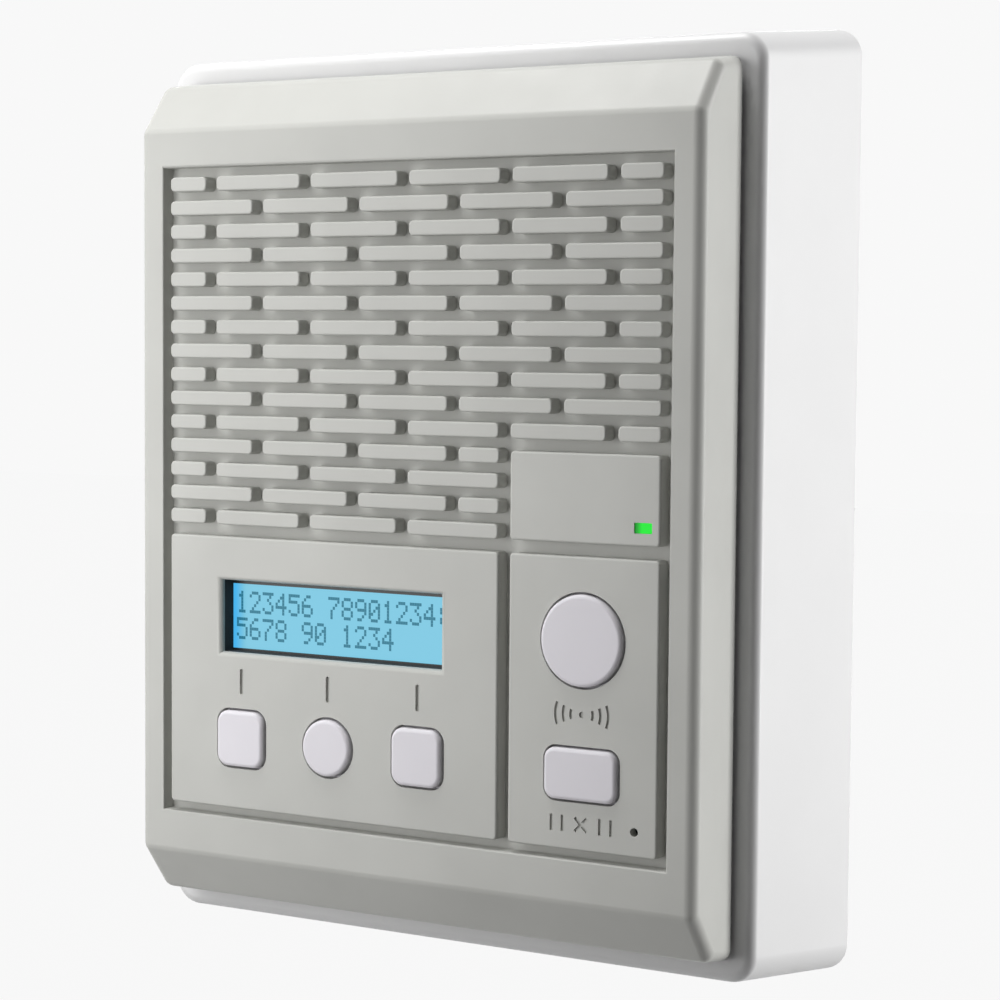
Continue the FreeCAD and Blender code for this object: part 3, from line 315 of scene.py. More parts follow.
    def slice_off(self, point: Triple, outward: Triple) -> Self:
        """Bisects the mesh, throws away what lies outwards of the plane and closes the cut.

        Args:
            point: A point of the plane.
            outward: The way that the plane faces.

        Returns:
            This workpiece.
        """
        self.pick_all()
        bpy.ops.mesh.bisect(plane_co=metres(point), plane_no=Vector(outward).normalized(),
                            use_fill=True, clear_outer=True)
        return self.leave()

    def _combine(self, others: Iterable[Self], operation: str) -> Self:
        """Applies a Boolean modifier with each other workpiece and throws that one away.

        Args:
            others: The other workpieces.
            operation: DIFFERENCE or UNION.

        Returns:
            This workpiece.
        """
        for other in others:
            modifier = self.obj.modifiers.new("combine", "BOOLEAN")
            modifier.operation = operation
            modifier.solver = "EXACT"
            modifier.object = other.obj
            self.activate()
            bpy.ops.object.modifier_apply(modifier=modifier.name)
            other.discard()
        return self

    def cut(self, *others: Self) -> Self:
        """Takes other workpieces away from this one."""
        return self._combine(others, "DIFFERENCE")

    def weld(self, *others: Self) -> Self:
        """Adds other workpieces to this one as one closed mesh."""
        return self._combine(others, "UNION")

    def outwards(self) -> Self:
        """Turns every face outwards.

        Returns:
            This workpiece.
        """
        self.pick_all()
        bpy.ops.mesh.normals_make_consistent(inside=False)
        return self.leave()

    def clean(self) -> Self:
        """Merges doubled points and dissolves slivers that a cut left.

        Returns:
            This workpiece.
        """
        self.pick_all()
        bpy.ops.mesh.remove_doubles(threshold=MERGE * MM)
        bpy.ops.mesh.dissolve_degenerate(threshold=MERGE * MM)
        return self.leave()

    def copied(self, name: str, move: Triple) -> Self:
        """Makes a copy with its own mesh, moved by an offset.

        Args:
            name: The copy's name.
            move: The offset.

        Returns:
            The copy.
        """
        obj = self.obj.copy()
        obj.data = self.obj.data.copy()
        obj.name = name
        obj.data.transform(Matrix.Translation(Vector(move) * MM))
        bpy.context.scene.collection.objects.link(obj)
        return Workpiece(obj)

    def joined(self, others: Iterable[Self]) -> Self:
        """Takes separate closed shells into this object.

        Args:
            others: The workpieces that it takes in.

        Returns:
            This workpiece.
        """
        self.activate()
        for other in others:
            other.obj.select_set(True)
        bpy.ops.object.join()
        return self

    def discard(self) -> None:
        """Removes the object and its mesh."""
        mesh = self.obj.data
        bpy.data.objects.remove(self.obj)
        bpy.data.meshes.remove(mesh)

    def shade(self, angle_deg: float = 35.0) -> Self:
        """Shades soft edges smooth and keeps flat faces flat.

        Args:
            angle_deg: The largest fold that is shaded smooth.

        Returns:
            This workpiece.
        """
        self.activate()
        bpy.ops.object.shade_smooth_by_angle(angle=math.radians(angle_deg))
        modifier = self.obj.modifiers.new("flat_faces", "WEIGHTED_NORMAL")
        modifier.keep_sharp = True
        bpy.ops.object.modifier_apply(modifier=modifier.name)
        return self

    def fit(self, finish: "Coat", slot: str, body: str, *nodes: str) -> None:
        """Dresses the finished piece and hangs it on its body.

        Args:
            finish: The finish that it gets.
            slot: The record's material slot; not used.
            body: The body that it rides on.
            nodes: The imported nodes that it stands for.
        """
        self.obj.data.materials.clear()
        self.obj.data.materials.append(finish.material())
        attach(self.obj, body)
        if nodes:
            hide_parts(*nodes)
        log.info("%s: %d faces on %s", self.obj.name, len(self.obj.data.polygons), body)


# Finishes

class Relief(Enum):
    """Fine relief that a finish can carry."""

    GRAIN = "moulded grain"
    BRUSHED = "lines of a brushed or rolled sheet"
    WOVEN = "threads of a cloth"
    TURNED = "rings that a lathe leaves"
    TRACKS = "tracks under a solder mask"


class NodeBench:
    """Short calls that wire up the nodes of a material or a world."""

    NOISE_RANGE: ClassVar[Pair] = (0.3, 0.7)

    def __init__(self, owner: bpy.types.Material | bpy.types.World,
                 output: str = "ShaderNodeOutputMaterial") -> None:
        """Clears the owner's nodes and adds its output node.

        Args:
            owner: The new material or world.
            output: The kind of its output node.
        """
        owner.use_nodes = True
        self.owner = owner
        self.tree = owner.node_tree
        self.tree.nodes.clear()
        self.out = self.add(output)

    def add(self, kind: str, **settings: object) -> bpy.types.Node:
        """Adds a node and sets its inputs, or its properties where no input has the name.

        Args:
            kind: The kind of node.
            settings: Values by the name of the input or property.

        Returns:
            The new node.
        """
        node = self.tree.nodes.new(kind)
        for key, value in settings.items():
            if key in node.inputs:
                node.inputs[key].default_value = value
            else:
                setattr(node, key, value)
        return node

    def wire(self, source: Socket, target: Socket) -> None:
        """Links one socket to another."""
        self.tree.links.new(source, target)

    def place(self) -> Socket:
        """Gives the place on the piece, in object coordinates."""
        return self.add("ShaderNodeTexCoord").outputs["Object"]

    def mapped(self, **mapping: Triple) -> Socket:
        """Gives the place on the piece, scaled or turned.

        Args:
            mapping: Scale or Rotation of the mapping.

        Returns:
            The mapped place.
        """
        node = self.add("ShaderNodeMapping", **mapping)
        self.wire(self.place(), node.inputs["Vector"])
        return node.outputs["Vector"]

    def noise(self, scale: float, detail: float = 3.0, stretch: Triple = (1.0, 1.0, 1.0)) -> Socket:
        """Adds noise on object coordinates.

        Args:
            scale: Features per metre.
            detail: Octaves.
            stretch: How much finer it is along each axis.

        Returns:
            The noise's factor.
        """
        texture = self.add("ShaderNodeTexNoise", Scale=scale, Detail=detail)
        self.wire(self.mapped(Scale=stretch), texture.inputs["Vector"])
        return texture.outputs["Fac"]

    def spread(self, value: Socket, to: Pair, source: Pair = NOISE_RANGE) -> Socket:
        """Maps a value from one range to another.

        Args:
            value: The value.
            to: The range of the result.
            source: The range of the value.

        Returns:
            The result.
        """
        node = self.add("ShaderNodeMapRange")
        for name, bound in zip(("From Min", "From Max", "To Min", "To Max"), source + to):
            node.inputs[name].default_value = bound
        self.wire(value, node.inputs["Value"])
        return node.outputs["Result"]

    def blend(self, factor: Socket, first: Color, second: Color) -> Socket:
        """Mixes two colours by a factor and gives the result.

        Args:
            factor: 0 for the first colour and 1 for the second.
            first: The first colour.
            second: The second colour.

        Returns:
            The mixed colour.
        """
        node = self.add("ShaderNodeMix", data_type="RGBA")
        node.inputs[6].default_value = (*first, 1)
        node.inputs[7].default_value = (*second, 1)
        self.wire(factor, node.inputs[0])
        return node.outputs[2]

    def highest(self, first: Socket, second: Socket) -> Socket:
        """Gives the higher of two values.

        Args:
            first: One value.
            second: The other value.

        Returns:
            The higher value.
        """
        node = self.add("ShaderNodeMath", operation="MAXIMUM")
        self.wire(first, node.inputs[0])
        self.wire(second, node.inputs[1])
        return node.outputs["Value"]

    def bump(self, height: Socket, depth: float) -> Socket:
        """Turns a height into a normal, with the relief's depth in metres.

        Args:
            height: The height, from 0 to 1.
            depth: The relief's depth in metres.

        Returns:
            The normal.
        """
        node = self.add("ShaderNodeBump", Strength=1.0, Distance=depth)
        self.wire(height, node.inputs["Height"])
        return node.outputs["Normal"]

    def show(self, shader: bpy.types.Node) -> None:
        """Links a shader to the output."""
        self.wire(shader.outputs[0], self.out.inputs["Surface"])

    def show_either(self, factor: Socket, first: bpy.types.Node, second: bpy.types.Node) -> None:
        """Shows the first shader where the factor is 0 and the second where it is 1.

        Args:
            factor: The factor.
            first: The first shader.
            second: The second shader.
        """
        mix = self.add("ShaderNodeMixShader")
        self.wire(factor, mix.inputs["Fac"])
        self.wire(first.outputs[0], mix.inputs[1])
        self.wire(second.outputs[0], mix.inputs[2])
        self.show(mix)


@dataclass(frozen=True)
class Coat:
    """Any finish, whose material is built once."""

    name: str

    def material(self) -> bpy.types.Material:
        """Gives the material with this finish's name and builds it the first time."""
        ready = bpy.data.materials.get(self.name)
        return ready if ready is not None else self._made(NodeBench(bpy.data.materials.new(self.name)))

    def _made(self, bench: NodeBench) -> bpy.types.Material:
        """Wires up the material, in each finish's own way."""
        raise NotImplementedError


@dataclass(frozen=True)
class Finish(Coat):
    """One finish with its colour, gloss and fine relief."""

    GLOSS_SPREAD: ClassVar[float] = 0.04
    GLOSS_FINENESS: ClassVar[float] = 3.0
    BRUSH_STRETCH: ClassVar[Triple] = (0.05, 1.0, 1.0)
    TRACK_GAP: ClassVar[float] = 0.06

    color: Color
    roughness: float = 0.45
    metallic: float = 0.0
    specular: float = 0.4
    relief: Relief = Relief.GRAIN
    fineness: float = 1800.0
    depth: float = 0.00001
    tone: float = 0.03
    cloud: float = 45.0

    def _made(self, bench: NodeBench) -> bpy.types.Material:
        """Wires up clouds of tone and gloss, and the relief.

        Args:
            bench: The bench of the new material.

        Returns:
            The material.
        """
        shader = bench.add("ShaderNodeBsdfPrincipled", Metallic=self.metallic,
                           **{"Specular IOR Level": self.specular})
        darker = tuple(c * (1 - self.tone) for c in self.color)
        lighter = tuple(min(1.0, c * (1 + self.tone)) for c in self.color)
        cloud = bench.spread(bench.noise(self.cloud), (0.0, 1.0))
        bench.wire(bench.blend(cloud, darker, lighter), shader.inputs["Base Color"])
        bounds = (self.roughness - self.GLOSS_SPREAD, self.roughness + self.GLOSS_SPREAD)
        gloss = bench.spread(bench.noise(self.cloud * self.GLOSS_FINENESS), bounds)
        bench.wire(gloss, shader.inputs["Roughness"])
        bench.wire(bench.bump(self._height(bench), self.depth), shader.inputs["Normal"])
        bench.show(shader)
        return bench.owner

    def _height(self, bench: NodeBench) -> Socket:
        """Gives the height of the fine relief.

        Args:
            bench: The bench of the new material.

        Returns:
            The height, from 0 to 1.
        """
        if self.relief is Relief.BRUSHED:
            return bench.noise(self.fineness, 2.0, self.BRUSH_STRETCH)
        if self.relief is Relief.WOVEN:
            return bench.highest(self._wave(bench, "bands", "X"), self._wave(bench, "bands", "Z"))
        if self.relief is Relief.TURNED:
            return self._wave(bench, "rings", "Y")
        if self.relief is Relief.TRACKS:
            return self._tracks(bench)
        return bench.noise(self.fineness, 2.0)

    def _wave(self, bench: NodeBench, kind: str, way: str) -> Socket:
        """Adds bands or rings along one axis and gives their height.

        Args:
            bench: The bench of the new material.
            kind: bands or rings.
            way: The axis.

        Returns:
            The height, from 0 to 1.
        """
        wave = bench.add("ShaderNodeTexWave", Scale=self.fineness, wave_type=kind.upper(),
                         **{kind + "_direction": way})
        bench.wire(bench.place(), wave.inputs["Vector"])
        return wave.outputs["Fac"]

    def _tracks(self, bench: NodeBench) -> Socket:
        """Adds stepped lines like the copper under a solder mask.

        Args:
            bench: The bench of the new material.

        Returns:
            The height, from 0 to 1.
        """
        brick = bench.add("ShaderNodeTexBrick", Scale=self.fineness,
                          **{"Mortar Size": self.TRACK_GAP})
        bench.wire(bench.mapped(Rotation=(math.pi / 2, 0.0, 0.0)), brick.inputs["Vector"])
        return brick.outputs["Fac"]


@dataclass(frozen=True)
class LitFinish(Coat):
    """A surface that is lit from behind, with painted shade that dims its glow towards one side."""

    UNLIT: ClassVar[tuple[float, ...]] = (0.01, 0.02, 0.02, 1.0)
    SPECULAR: ClassVar[float] = 0.1

    # near is painted shade, a dimmer glow at the edge by the window's left wall; far is the even glow;
    # the blend runs from near_x to far_x
    near: Color
    far: Color
    near_x: float
    far_x: float
    glow: float = 1.0
    roughness: float = 0.18

    def _made(self, bench: NodeBench) -> bpy.types.Material:
        """Wires up the glow, which changes along X from the painted shade of near to the even glow of
        far.

        Args:
            bench: The bench of the new material.

        Returns:
            The material.
        """
        shader = bench.add("ShaderNodeBsdfPrincipled", Roughness=self.roughness,
                           **{"Base Color": self.UNLIT, "Specular IOR Level": self.SPECULAR,
                              "Emission Strength": self.glow})
        split = bench.add("ShaderNodeSeparateXYZ")
        bench.wire(bench.place(), split.inputs["Vector"])
        ramp = bench.spread(split.outputs["X"], (0.0, 1.0), (self.near_x * MM, self.far_x * MM))
        bench.wire(bench.blend(ramp, self.near, self.far), shader.inputs["Emission Color"])
        bench.show(shader)
        return bench.owner


GREY_PLASTIC = Finish("grey_moulding", (0.52, 0.522, 0.495), 0.42, specular=0.2, fineness=1500.0,
                      depth=0.000012)
WHITE_PLASTIC = Finish("white_moulding", (0.71, 0.71, 0.71), 0.38, fineness=1200.0, depth=0.000008,
                       tone=0.01)
KEY_PLASTIC = Finish("key_moulding", (0.74, 0.72, 0.76), 0.45, specular=0.2, fineness=2500.0,
                     depth=0.000003, tone=0.01)
SEAL_RUBBER = Finish("seal_rubber", (0.012, 0.012, 0.012), 0.6)
FOAM = Finish("open_foam", (0.03, 0.03, 0.03), 0.9, fineness=1500.0, depth=0.0001)
CLOTH = Finish("dust_cloth", (0.01, 0.01, 0.01), 0.9, relief=Relief.WOVEN, fineness=400.0,
               depth=0.00005)
PAPER = Finish("felted_paper", (0.02, 0.02, 0.02), 0.85, fineness=900.0, depth=0.00004)
ZINC = Finish("zinc_plate", (0.55, 0.56, 0.58), 0.32, metallic=1.0, relief=Relief.BRUSHED,
              fineness=3000.0, depth=0.000002)
BLACK_STEEL = Finish("black_steel", (0.012, 0.012, 0.013), 0.5)
FERRITE = Finish("ground_ferrite", (0.05, 0.05, 0.055), 0.55, relief=Relief.TURNED,
                 fineness=500.0)
COPPER = Finish("enamelled_copper", (0.60, 0.26, 0.12), 0.3, metallic=1.0, relief=Relief.TURNED,
                fineness=900.0, depth=0.00003)
GREEN_BOARD = Finish("green_solder_mask", (0.01, 0.10, 0.04), 0.3, relief=Relief.TRACKS,
                     fineness=180.0, depth=0.00003, tone=0.2)
BLUE_BOARD = Finish("blue_solder_mask", (0.01, 0.03, 0.13), 0.3, relief=Relief.TRACKS,
                    fineness=220.0, depth=0.00003, tone=0.2)
BLACK_PLASTIC = Finish("black_moulding", (0.015, 0.015, 0.016))
DIFFUSER = Finish("milky_diffuser", (0.85, 0.88, 0.90), 0.25, depth=0.000003)
CAN = Finish("drawn_aluminium", (0.62, 0.63, 0.65), 0.28, metallic=1.0, relief=Relief.TURNED,
             fineness=1500.0, depth=0.000002)
GREEN_PLASTIC = Finish("terminal_green", (0.02, 0.22, 0.07), 0.42)
RIBBON = Finish("ribbon_grey", (0.32, 0.33, 0.34), 0.5, relief=Relief.WOVEN, fineness=120.0,
                depth=0.0001)
LEAD_RED = Finish("lead_insulation", (0.35, 0.02, 0.02), 0.4)
# The screen and its ink glow dimmer and bluer in a narrow strip at the left: painted shade of the
# window's left wall
SCREEN = LitFinish("lit_screen", (0.07, 0.46, 0.86), (0.20, 0.56, 0.74), -47.4, -45.0)
SCREEN_INK = LitFinish("screen_ink", (0.02, 0.17, 0.30), (0.025, 0.18, 0.27), -47.4, -45.0)
# The status light glows dimmer over its left part: painted shade of its window's left wall
LIGHT = LitFinish("lit_window", (0.0, 0.30, 0.01), (0.0, 0.80, 0.02), 56.4, 57.6)


# Shared places

@dataclass(frozen=True)
class Layout:
    """Places that the sub-assemblies share, from the same sizes as the solids."""

    front: float = -56.5
    box_front: float = -38.5
    panel_back: float = -39.9
    wall: float = 2.4
    spare: float = 1.0
    recess_width: float = 128.0
    recess_height: float = 144.0
    recess_depth: float = 3.6
    recess_rise: float = 0.45
    margin: float = 2.1
    pad_gap: float = 2.7
    lower_pad_height: float = 60.5
    call_pad_width: float = 35.1
    name_pad_height: float = 18.4

    def x(self, across: float) -> float:
        """Gives X of a place measured from the recess's left edge."""
        return across - self.recess_width / 2

    def y(self, depth: float) -> float:
        """Gives Y of a place behind the front face."""
        return self.front + depth

    def z(self, down: float) -> float:
        """Gives Z of a place measured down from the recess's top edge."""
        return self.recess_height / 2 + self.recess_rise - down

    def inwards(self, depth: float) -> Pair:
        """Gives the Y ends of a cutter that goes from before the front face to a depth."""
        return self.front - self.spare, self.y(depth)

    @property
    def floor_depth(self) -> float:
        """Depth of the rear side of the recess's floor."""
        return self.recess_depth + self.wall

    @property
    def behind_pads(self) -> Pair:
        """Y ends of a cutter that goes from a pad's wall through the recess's floor."""
        return self.y(self.wall), self.y(self.floor_depth + self.spare)

    @property
    def lower_pads(self) -> Pair:
        """Top and bottom of the two lower pads."""
        bottom = self.recess_height - self.margin
        return bottom - self.lower_pad_height, bottom

    @property
    def name_pad(self) -> Pair:
        """Top and bottom of the name pad."""
        bottom = self.lower_pads[0] - self.pad_gap
        return bottom - self.name_pad_height, bottom

    @property
    def call_column(self) -> Pair:
        """Left and right of the call pad and the name pad."""
        right = self.recess_width - self.margin
        return right - self.call_pad_width, right

    @property
    def display_column(self) -> Pair:
        """Left and right of the display pad."""
        return self.margin, self.call_column[0] - self.pad_gap


HERE = Layout()


def pad_pocket(column: Pair, rows: Pair) -> Workpiece:
    """Gives the cutter of the hollow behind a pad, one wall smaller all round.

    Args:
        column: Left and right of the pad.
        rows: Top and bottom of the pad.

    Returns:
        The cutter.
    """
    near, far = HERE.behind_pads
    low = (HERE.x(column[0] + HERE.wall), near, HERE.z(rows[1] - HERE.wall))
    high = (HERE.x(column[1] - HERE.wall), far, HERE.z(rows[0] + HERE.wall))
    return Workpiece.block("pocket", low, high)


# Front panel

@dataclass
class PanelFrame:
    """Bevelled grey frame with the floor of its recess."""

    width: float = 141.2
    height: float = 182.2
    draft: float = 1.3
    bevel_height: float = 10.4
    bevel_depth: float = 7.9
    edge_radius: float = 2.5
    rim_radius: float = 0.45
    slot_width: float = 1.4
    slot_height: float = 2.4

    def build(self, slots: list[Pair]) -> None:
        """Shapes the frame, hollows it and opens the recess.

        Args:
            slots: Across and down of the narrow sound slots in the floor.
        """
        piece = self._outside()
        piece.cut(self._hollow(), self._recess(), *self._pockets(), self._slots(slots))
        piece.clean().soften(HERE.front, self.rim_radius, fold_deg=RIM_FOLD_DEG).shade()
        piece.fit(GREY_PLASTIC, "grey_plastic", STATION, "front_panel")

    def _slope(self, side: int) -> Triple:
        """Gives the outward direction of the upper (1) or lower (-1) bevel."""
        return 0.0, -self.bevel_height, side * self.bevel_depth

    def _outside(self) -> Workpiece:
        """Shapes the outer form with its bevels and soft edges.

        Returns:
            The solid frame.
        """
        x = self.width / 2
        z = self.height / 2
        far = z + self.draft
        bend = HERE.y(self.bevel_depth)
        run = HERE.panel_back - bend
        piece = Workpiece.block("panel_frame", *around(0, 0, x, far, (HERE.front, HERE.panel_back)))
        for side in (-1, 1):
            piece.slice_off((0.0, bend, side * z), (0.0, -self.draft, side * run))
            piece.slice_off((0.0, HERE.front, side * (z - self.bevel_height)), self._slope(side))
        front_turn = math.atan(self.bevel_depth / self.bevel_height)
        bend_turn = math.pi / 2 - front_turn - math.atan(self.draft / run)
        for place, turn in ((HERE.front, front_turn), (bend, bend_turn)):
            piece.pick_edges(lambda a, b, y=place: same(a.y, y) and same(b.y, y)
                             and abs(a.x - b.x) > x)
            piece.bevel(self.edge_radius * math.tan(turn / 2), 5)
        back = HERE.panel_back - HERE.spare
        piece.pick_edges(lambda a, b: same(abs(a.x), x) and same(a.x, b.x) and min(a.y, b.y) < back,
                         fold_deg=30.0)
        return piece.bevel(self.edge_radius, 7)

    def _hollow(self) -> Workpiece:
        """Shapes the cutter of the hollow behind the floor.

        Returns:
            The cutter.
        """
        ends = (HERE.y(HERE.floor_depth), HERE.panel_back + HERE.spare)
        cutter = Workpiece.block("hollow", *around(0, 0, self.width / 2 - HERE.wall,
                                                   self.height / 2 - HERE.wall, ends))
        slope = self.bevel_height / self.bevel_depth
        start_z = self.height / 2 - self.bevel_height - HERE.wall * math.hypot(1, slope)
        for side in (-1, 1):
            cutter.slice_off((0.0, HERE.front, side * start_z), self._slope(side))
        return cutter

    def _recess(self) -> Workpiece:
        """Gives the cutter of the recess."""
        near, far = HERE.inwards(HERE.recess_depth)
        return Workpiece.block("recess", (HERE.x(0), near, HERE.z(HERE.recess_height)),
                               (HERE.x(HERE.recess_width), far, HERE.z(0)))

    def _pockets(self) -> list[Workpiece]:
        """Gives the cutters of the floor behind the pads."""
        pads = ((HERE.display_column, HERE.lower_pads), (HERE.call_column, HERE.lower_pads),
                (HERE.call_column, HERE.name_pad))
        return [pad_pocket(column, rows) for column, rows in pads]

    def _slots(self, places: list[Pair]) -> Workpiece:
        """Gives the joined cutters of the sound slots.

        Args:
            places: Across and down of the slots.

        Returns:
            The cutter.
        """
        first = Workpiece.block("slot", *around(0, 0, self.slot_width / 2, self.slot_height / 2,
                                                HERE.behind_pads))
        copies = [first.copied("slot", (HERE.x(a), 0.0, HERE.z(d))) for a, d in places]
        first.discard()
        return copies[0].joined(copies[1:])


@dataclass
class GrilleBars:
    """Brick pattern of soft-edged bars over the loudspeaker."""

    per_row: int = 5
    gap: float = 2.8
    height: float = 3.2
    pitch: float = 5.25
    corner: float = 1.0
    edge: float = 0.4
    shortest: float = 5.0
    root_depth: float = 4.8
    speaker_across: float = 64.0
    speaker_down: float = 40.6
    cone_radius: float = 28.0

    def _limit(self, down: float) -> float:
        """Gives where a row ends, which is nearer beside the name pad."""
        return HERE.display_column[1] if down > HERE.name_pad[0] else HERE.recess_width - HERE.margin

    def places(self) -> list[Triple]:
        """Gives (left, right, down) of every bar.

        Returns:
            The bars, row by row from the top.
        """
        whole = (HERE.recess_width - 2 * HERE.margin + self.gap) / self.per_row
        rows = int((HERE.lower_pads[0] - HERE.margin) / self.pitch)
        found = []
        for row in range(rows):
            down = HERE.margin + self.height / 2 + row * self.pitch
            limit = self._limit(down + self.height / 2)
            start = HERE.margin - (whole / 2 if row % 2 == 0 else 0)
            while start < limit:
                left = max(start, HERE.margin)
                right = min(start + whole - self.gap, limit)
                if right - left >= self.shortest:
                    found.append((left, right, down))
                start += whole
        return found

    def slot_places(self) -> list[Pair]:
        """Gives (across, down) of the sound slots beside the bar ends over the cone.

        Returns:
            The slots, row by row from the top.
        """
        found = []
        for _, right, down in self.places():
            across = right + self.gap / 2
            away = math.hypot(across - self.speaker_across, down - self.speaker_down)
            if away < self.cone_radius and across < self._limit(down):
                found.append((across, down))
        return found

    def build(self) -> None:
        """Shapes one bar of each length and joins its copies into one object."""
        models: dict[float, Workpiece] = {}
        bars = []
        for left, right, down in self.places():
            length = round(right - left, 2)
            if length not in models:
                models[length] = self._bar(right - left)
            bars.append(models[length].copied("bar", (HERE.x(left), 0.0, HERE.z(down))))
        for model in models.values():
            model.discard()
        piece = bars[0].joined(bars[1:])
        piece.obj.name = "grille_bars"
        piece.shade().fit(GREY_PLASTIC, "grey_plastic", STATION, "front_panel")

    def _bar(self, length: float) -> Workpiece:
        """Shapes one bar that starts at X 0, centred on Z 0.

        Args:
            length: The bar's length.

        Returns:
            The bar.
        """
        half = self.height / 2
        piece = Workpiece.soft_block("bar", (0.0, HERE.front, -half),
                                     (length, HERE.y(self.root_depth), half), self.corner, 4)
        return piece.soften(HERE.front, self.edge)


@dataclass
class PanelPads:
    """Three flat pads of the panel with their holes and engraved marks."""

    corner: float = 0.9
    edge: float = 0.5
    hole_edge: float = 0.25
    window_width: float = 57.6
    window_height: float = 16.0
    window_edge: float = 1.2
    window_below_top: float = 17.7
    seal_width: float = 2.2
    seal_play: float = 0.3
    seal_front: float = 1.3
    mark_width: float = 0.95
    mark_length: float = 5.7
    mark_depth: float = 0.6
    mark_below_top: float = 32.05
    mark_roundness: float = 0.9
    engraving_depth: float = 0.45
    engraving_width: float = 0.65
    call_sign_down: float = 113.8
    wave_radii: Triple = (2.6, 4.4, 6.2)
    wave_half_deg: float = 22.0
    cancel_sign_down: float = 136.5
    upright_length: float = 3.4
    upright_offsets: Pair = (4.4, 7.0)
    stroke_half: float = 2.0
    light_width: float = 4.1
    light_height: float = 2.2
    light_corner: float = 0.22
    light_inset_side: float = 3.85
    light_inset_bottom: float = 3.7
    mic_radius: float = 0.9
    mic_inset: float = 5.15

    def build(self, buttons: "Buttons") -> None:
        """Shapes the three pads.

        Args:
            buttons: The keys and buttons whose holes the pads have.
        """
        for pad in (self._display_pad(buttons), self._call_pad(buttons), self._name_pad()):
            pad.shade().fit(GREY_PLASTIC, "grey_plastic", STATION, "front_panel")

    def _plate(self, name: str, column: Pair, rows: Pair) -> Workpiece:
        """Shapes a hollow pad with soft edges.

        Args:
            name: The pad's name.
            column: Its left and right.
            rows: Its top and bottom.

        Returns:
            The pad.
        """
        low = (HERE.x(column[0]), HERE.front, HERE.z(rows[1]))
        high = (HERE.x(column[1]), HERE.y(HERE.floor_depth), HERE.z(rows[0]))
        piece = Workpiece.soft_block(name, low, high, self.corner, 4)
        return piece.soften(HERE.front, self.edge).cut(pad_pocket(column, rows))

    def _display_pad(self, buttons: "Buttons") -> Workpiece:
        """Shapes the pad with the window, the marks and the three keys' holes.

        Args:
            buttons: The keys and buttons.

        Returns:
            The pad.
        """
        piece = self._plate("display_pad", HERE.display_column, HERE.lower_pads)
        x = HERE.x(sum(HERE.display_column) / 2)
        z = HERE.z(HERE.lower_pads[0] + self.window_below_top)
        wide = self.window_width / 2
        tall = self.window_height / 2
        rim = self.seal_width + self.seal_play
        near, far = HERE.inwards(HERE.floor_depth)
        seat = around(x, z, wide + rim, tall + rim, (HERE.y(self.seal_front), far))
        piece.cut(Workpiece.block("seat", *seat),
                  Workpiece.block("window", *around(x, z, wide, tall, (near, far))))
        keys = [b for b in buttons.shapes if b.name in Buttons.KEYS]
        piece.cut(*[key.cutter(buttons.clearance) for key in keys]).clean()
        sill = z - tall - HERE.spare
        piece.soften(HERE.front, self.window_edge, 5, RIM_FOLD_DEG, lambda end: end.z > sill)
        piece.soften(HERE.front, self.hole_edge, 2, RIM_FOLD_DEG, lambda end: end.z < sill)
        mark_z = HERE.z(HERE.lower_pads[0] + self.mark_below_top)
        half = self.mark_width / 2
        for key in keys:
            mark = around(key.x, mark_z, half, self.mark_length / 2, HERE.inwards(self.mark_depth))
            piece.cut(Workpiece.soft_block("mark", *mark, half * self.mark_roundness, 4))
        return piece

    def _call_pad(self, buttons: "Buttons") -> Workpiece:
        """Shapes the pad with the call and cancel buttons and the microphone hole.

        Args:
            buttons: The keys and buttons.

        Returns:
            The pad.
        """
        piece = self._plate("call_pad", HERE.call_column, HERE.lower_pads)
        call, cancel = [b for b in buttons.shapes if b.name not in Buttons.KEYS]
        x = HERE.x(HERE.call_column[1] - self.mic_inset)
        z = HERE.z(HERE.lower_pads[1] - self.mic_inset)
        piece.cut(call.cutter(buttons.clearance), cancel.cutter(buttons.clearance),
                  Workpiece.rod("hole", x, z, self.mic_radius, HERE.inwards(HERE.floor_depth),
                                SMALL_SIDES))
        piece.clean().soften(HERE.front, self.hole_edge, 2, RIM_FOLD_DEG)
        return piece.cut(*self._wave_sign(call.x), *self._cross_sign(cancel.x))

    def _name_pad(self) -> Workpiece:
        """Shapes the bare pad with the window of the status light.

        Returns:
            The pad.
        """
        piece = self._plate("name_pad", HERE.call_column, HERE.name_pad)
        x = HERE.x(HERE.call_column[1] - self.light_inset_side)
        z = HERE.z(HERE.name_pad[1] - self.light_inset_bottom)
        light = around(x, z, self.light_width / 2, self.light_height / 2,
                       HERE.inwards(HERE.floor_depth))
        return piece.cut(Workpiece.soft_block("light", *light, self.light_corner, 3)).clean()

    def _wave_sign(self, x: float) -> list[Workpiece]:
        """Gives the cutters of a dot between sound waves, under the call button.

        Args:
            x: X of the sign's middle.

        Returns:
            The cutters.
        """
        z = HERE.z(self.call_sign_down)
        ends = HERE.inwards(self.engraving_depth)
        found = [Workpiece.rod("dot", x, z, self.engraving_width, ends, 16)]
        for radius in self.wave_radii:
            for middle in (0.0, 180.0):
                found.append(Workpiece.arc("wave", x, z, radius, self.engraving_width, ends,
                                           middle - self.wave_half_deg, 2 * self.wave_half_deg))
        return found

    def _cross_sign(self, x: float) -> list[Workpiece]:
        """Gives the cutters of a cross between upright strokes, under the cancel button.

        Args:
            x: X of the sign's middle.

        Returns:
            The cutters.
        """
        z = HERE.z(self.cancel_sign_down)
        half = self.engraving_width / 2
        ends = HERE.inwards(self.engraving_depth)
        found = []
        for way in (-1, 1):
            for offset in self.upright_offsets:
                upright = around(x + way * offset, z, half, self.upright_length / 2, ends)
                found.append(Workpiece.block("upright", *upright))
            stroke = Workpiece.block("stroke", *around(x, z, self.stroke_half, half, ends))
            stroke.pick_all()
            bpy.ops.transform.rotate(value=way * math.pi / 4, orient_axis="Y",
                                     center_override=metres((x, 0.0, z)))
            found.append(stroke.leave())
        return found


# Keys and buttons

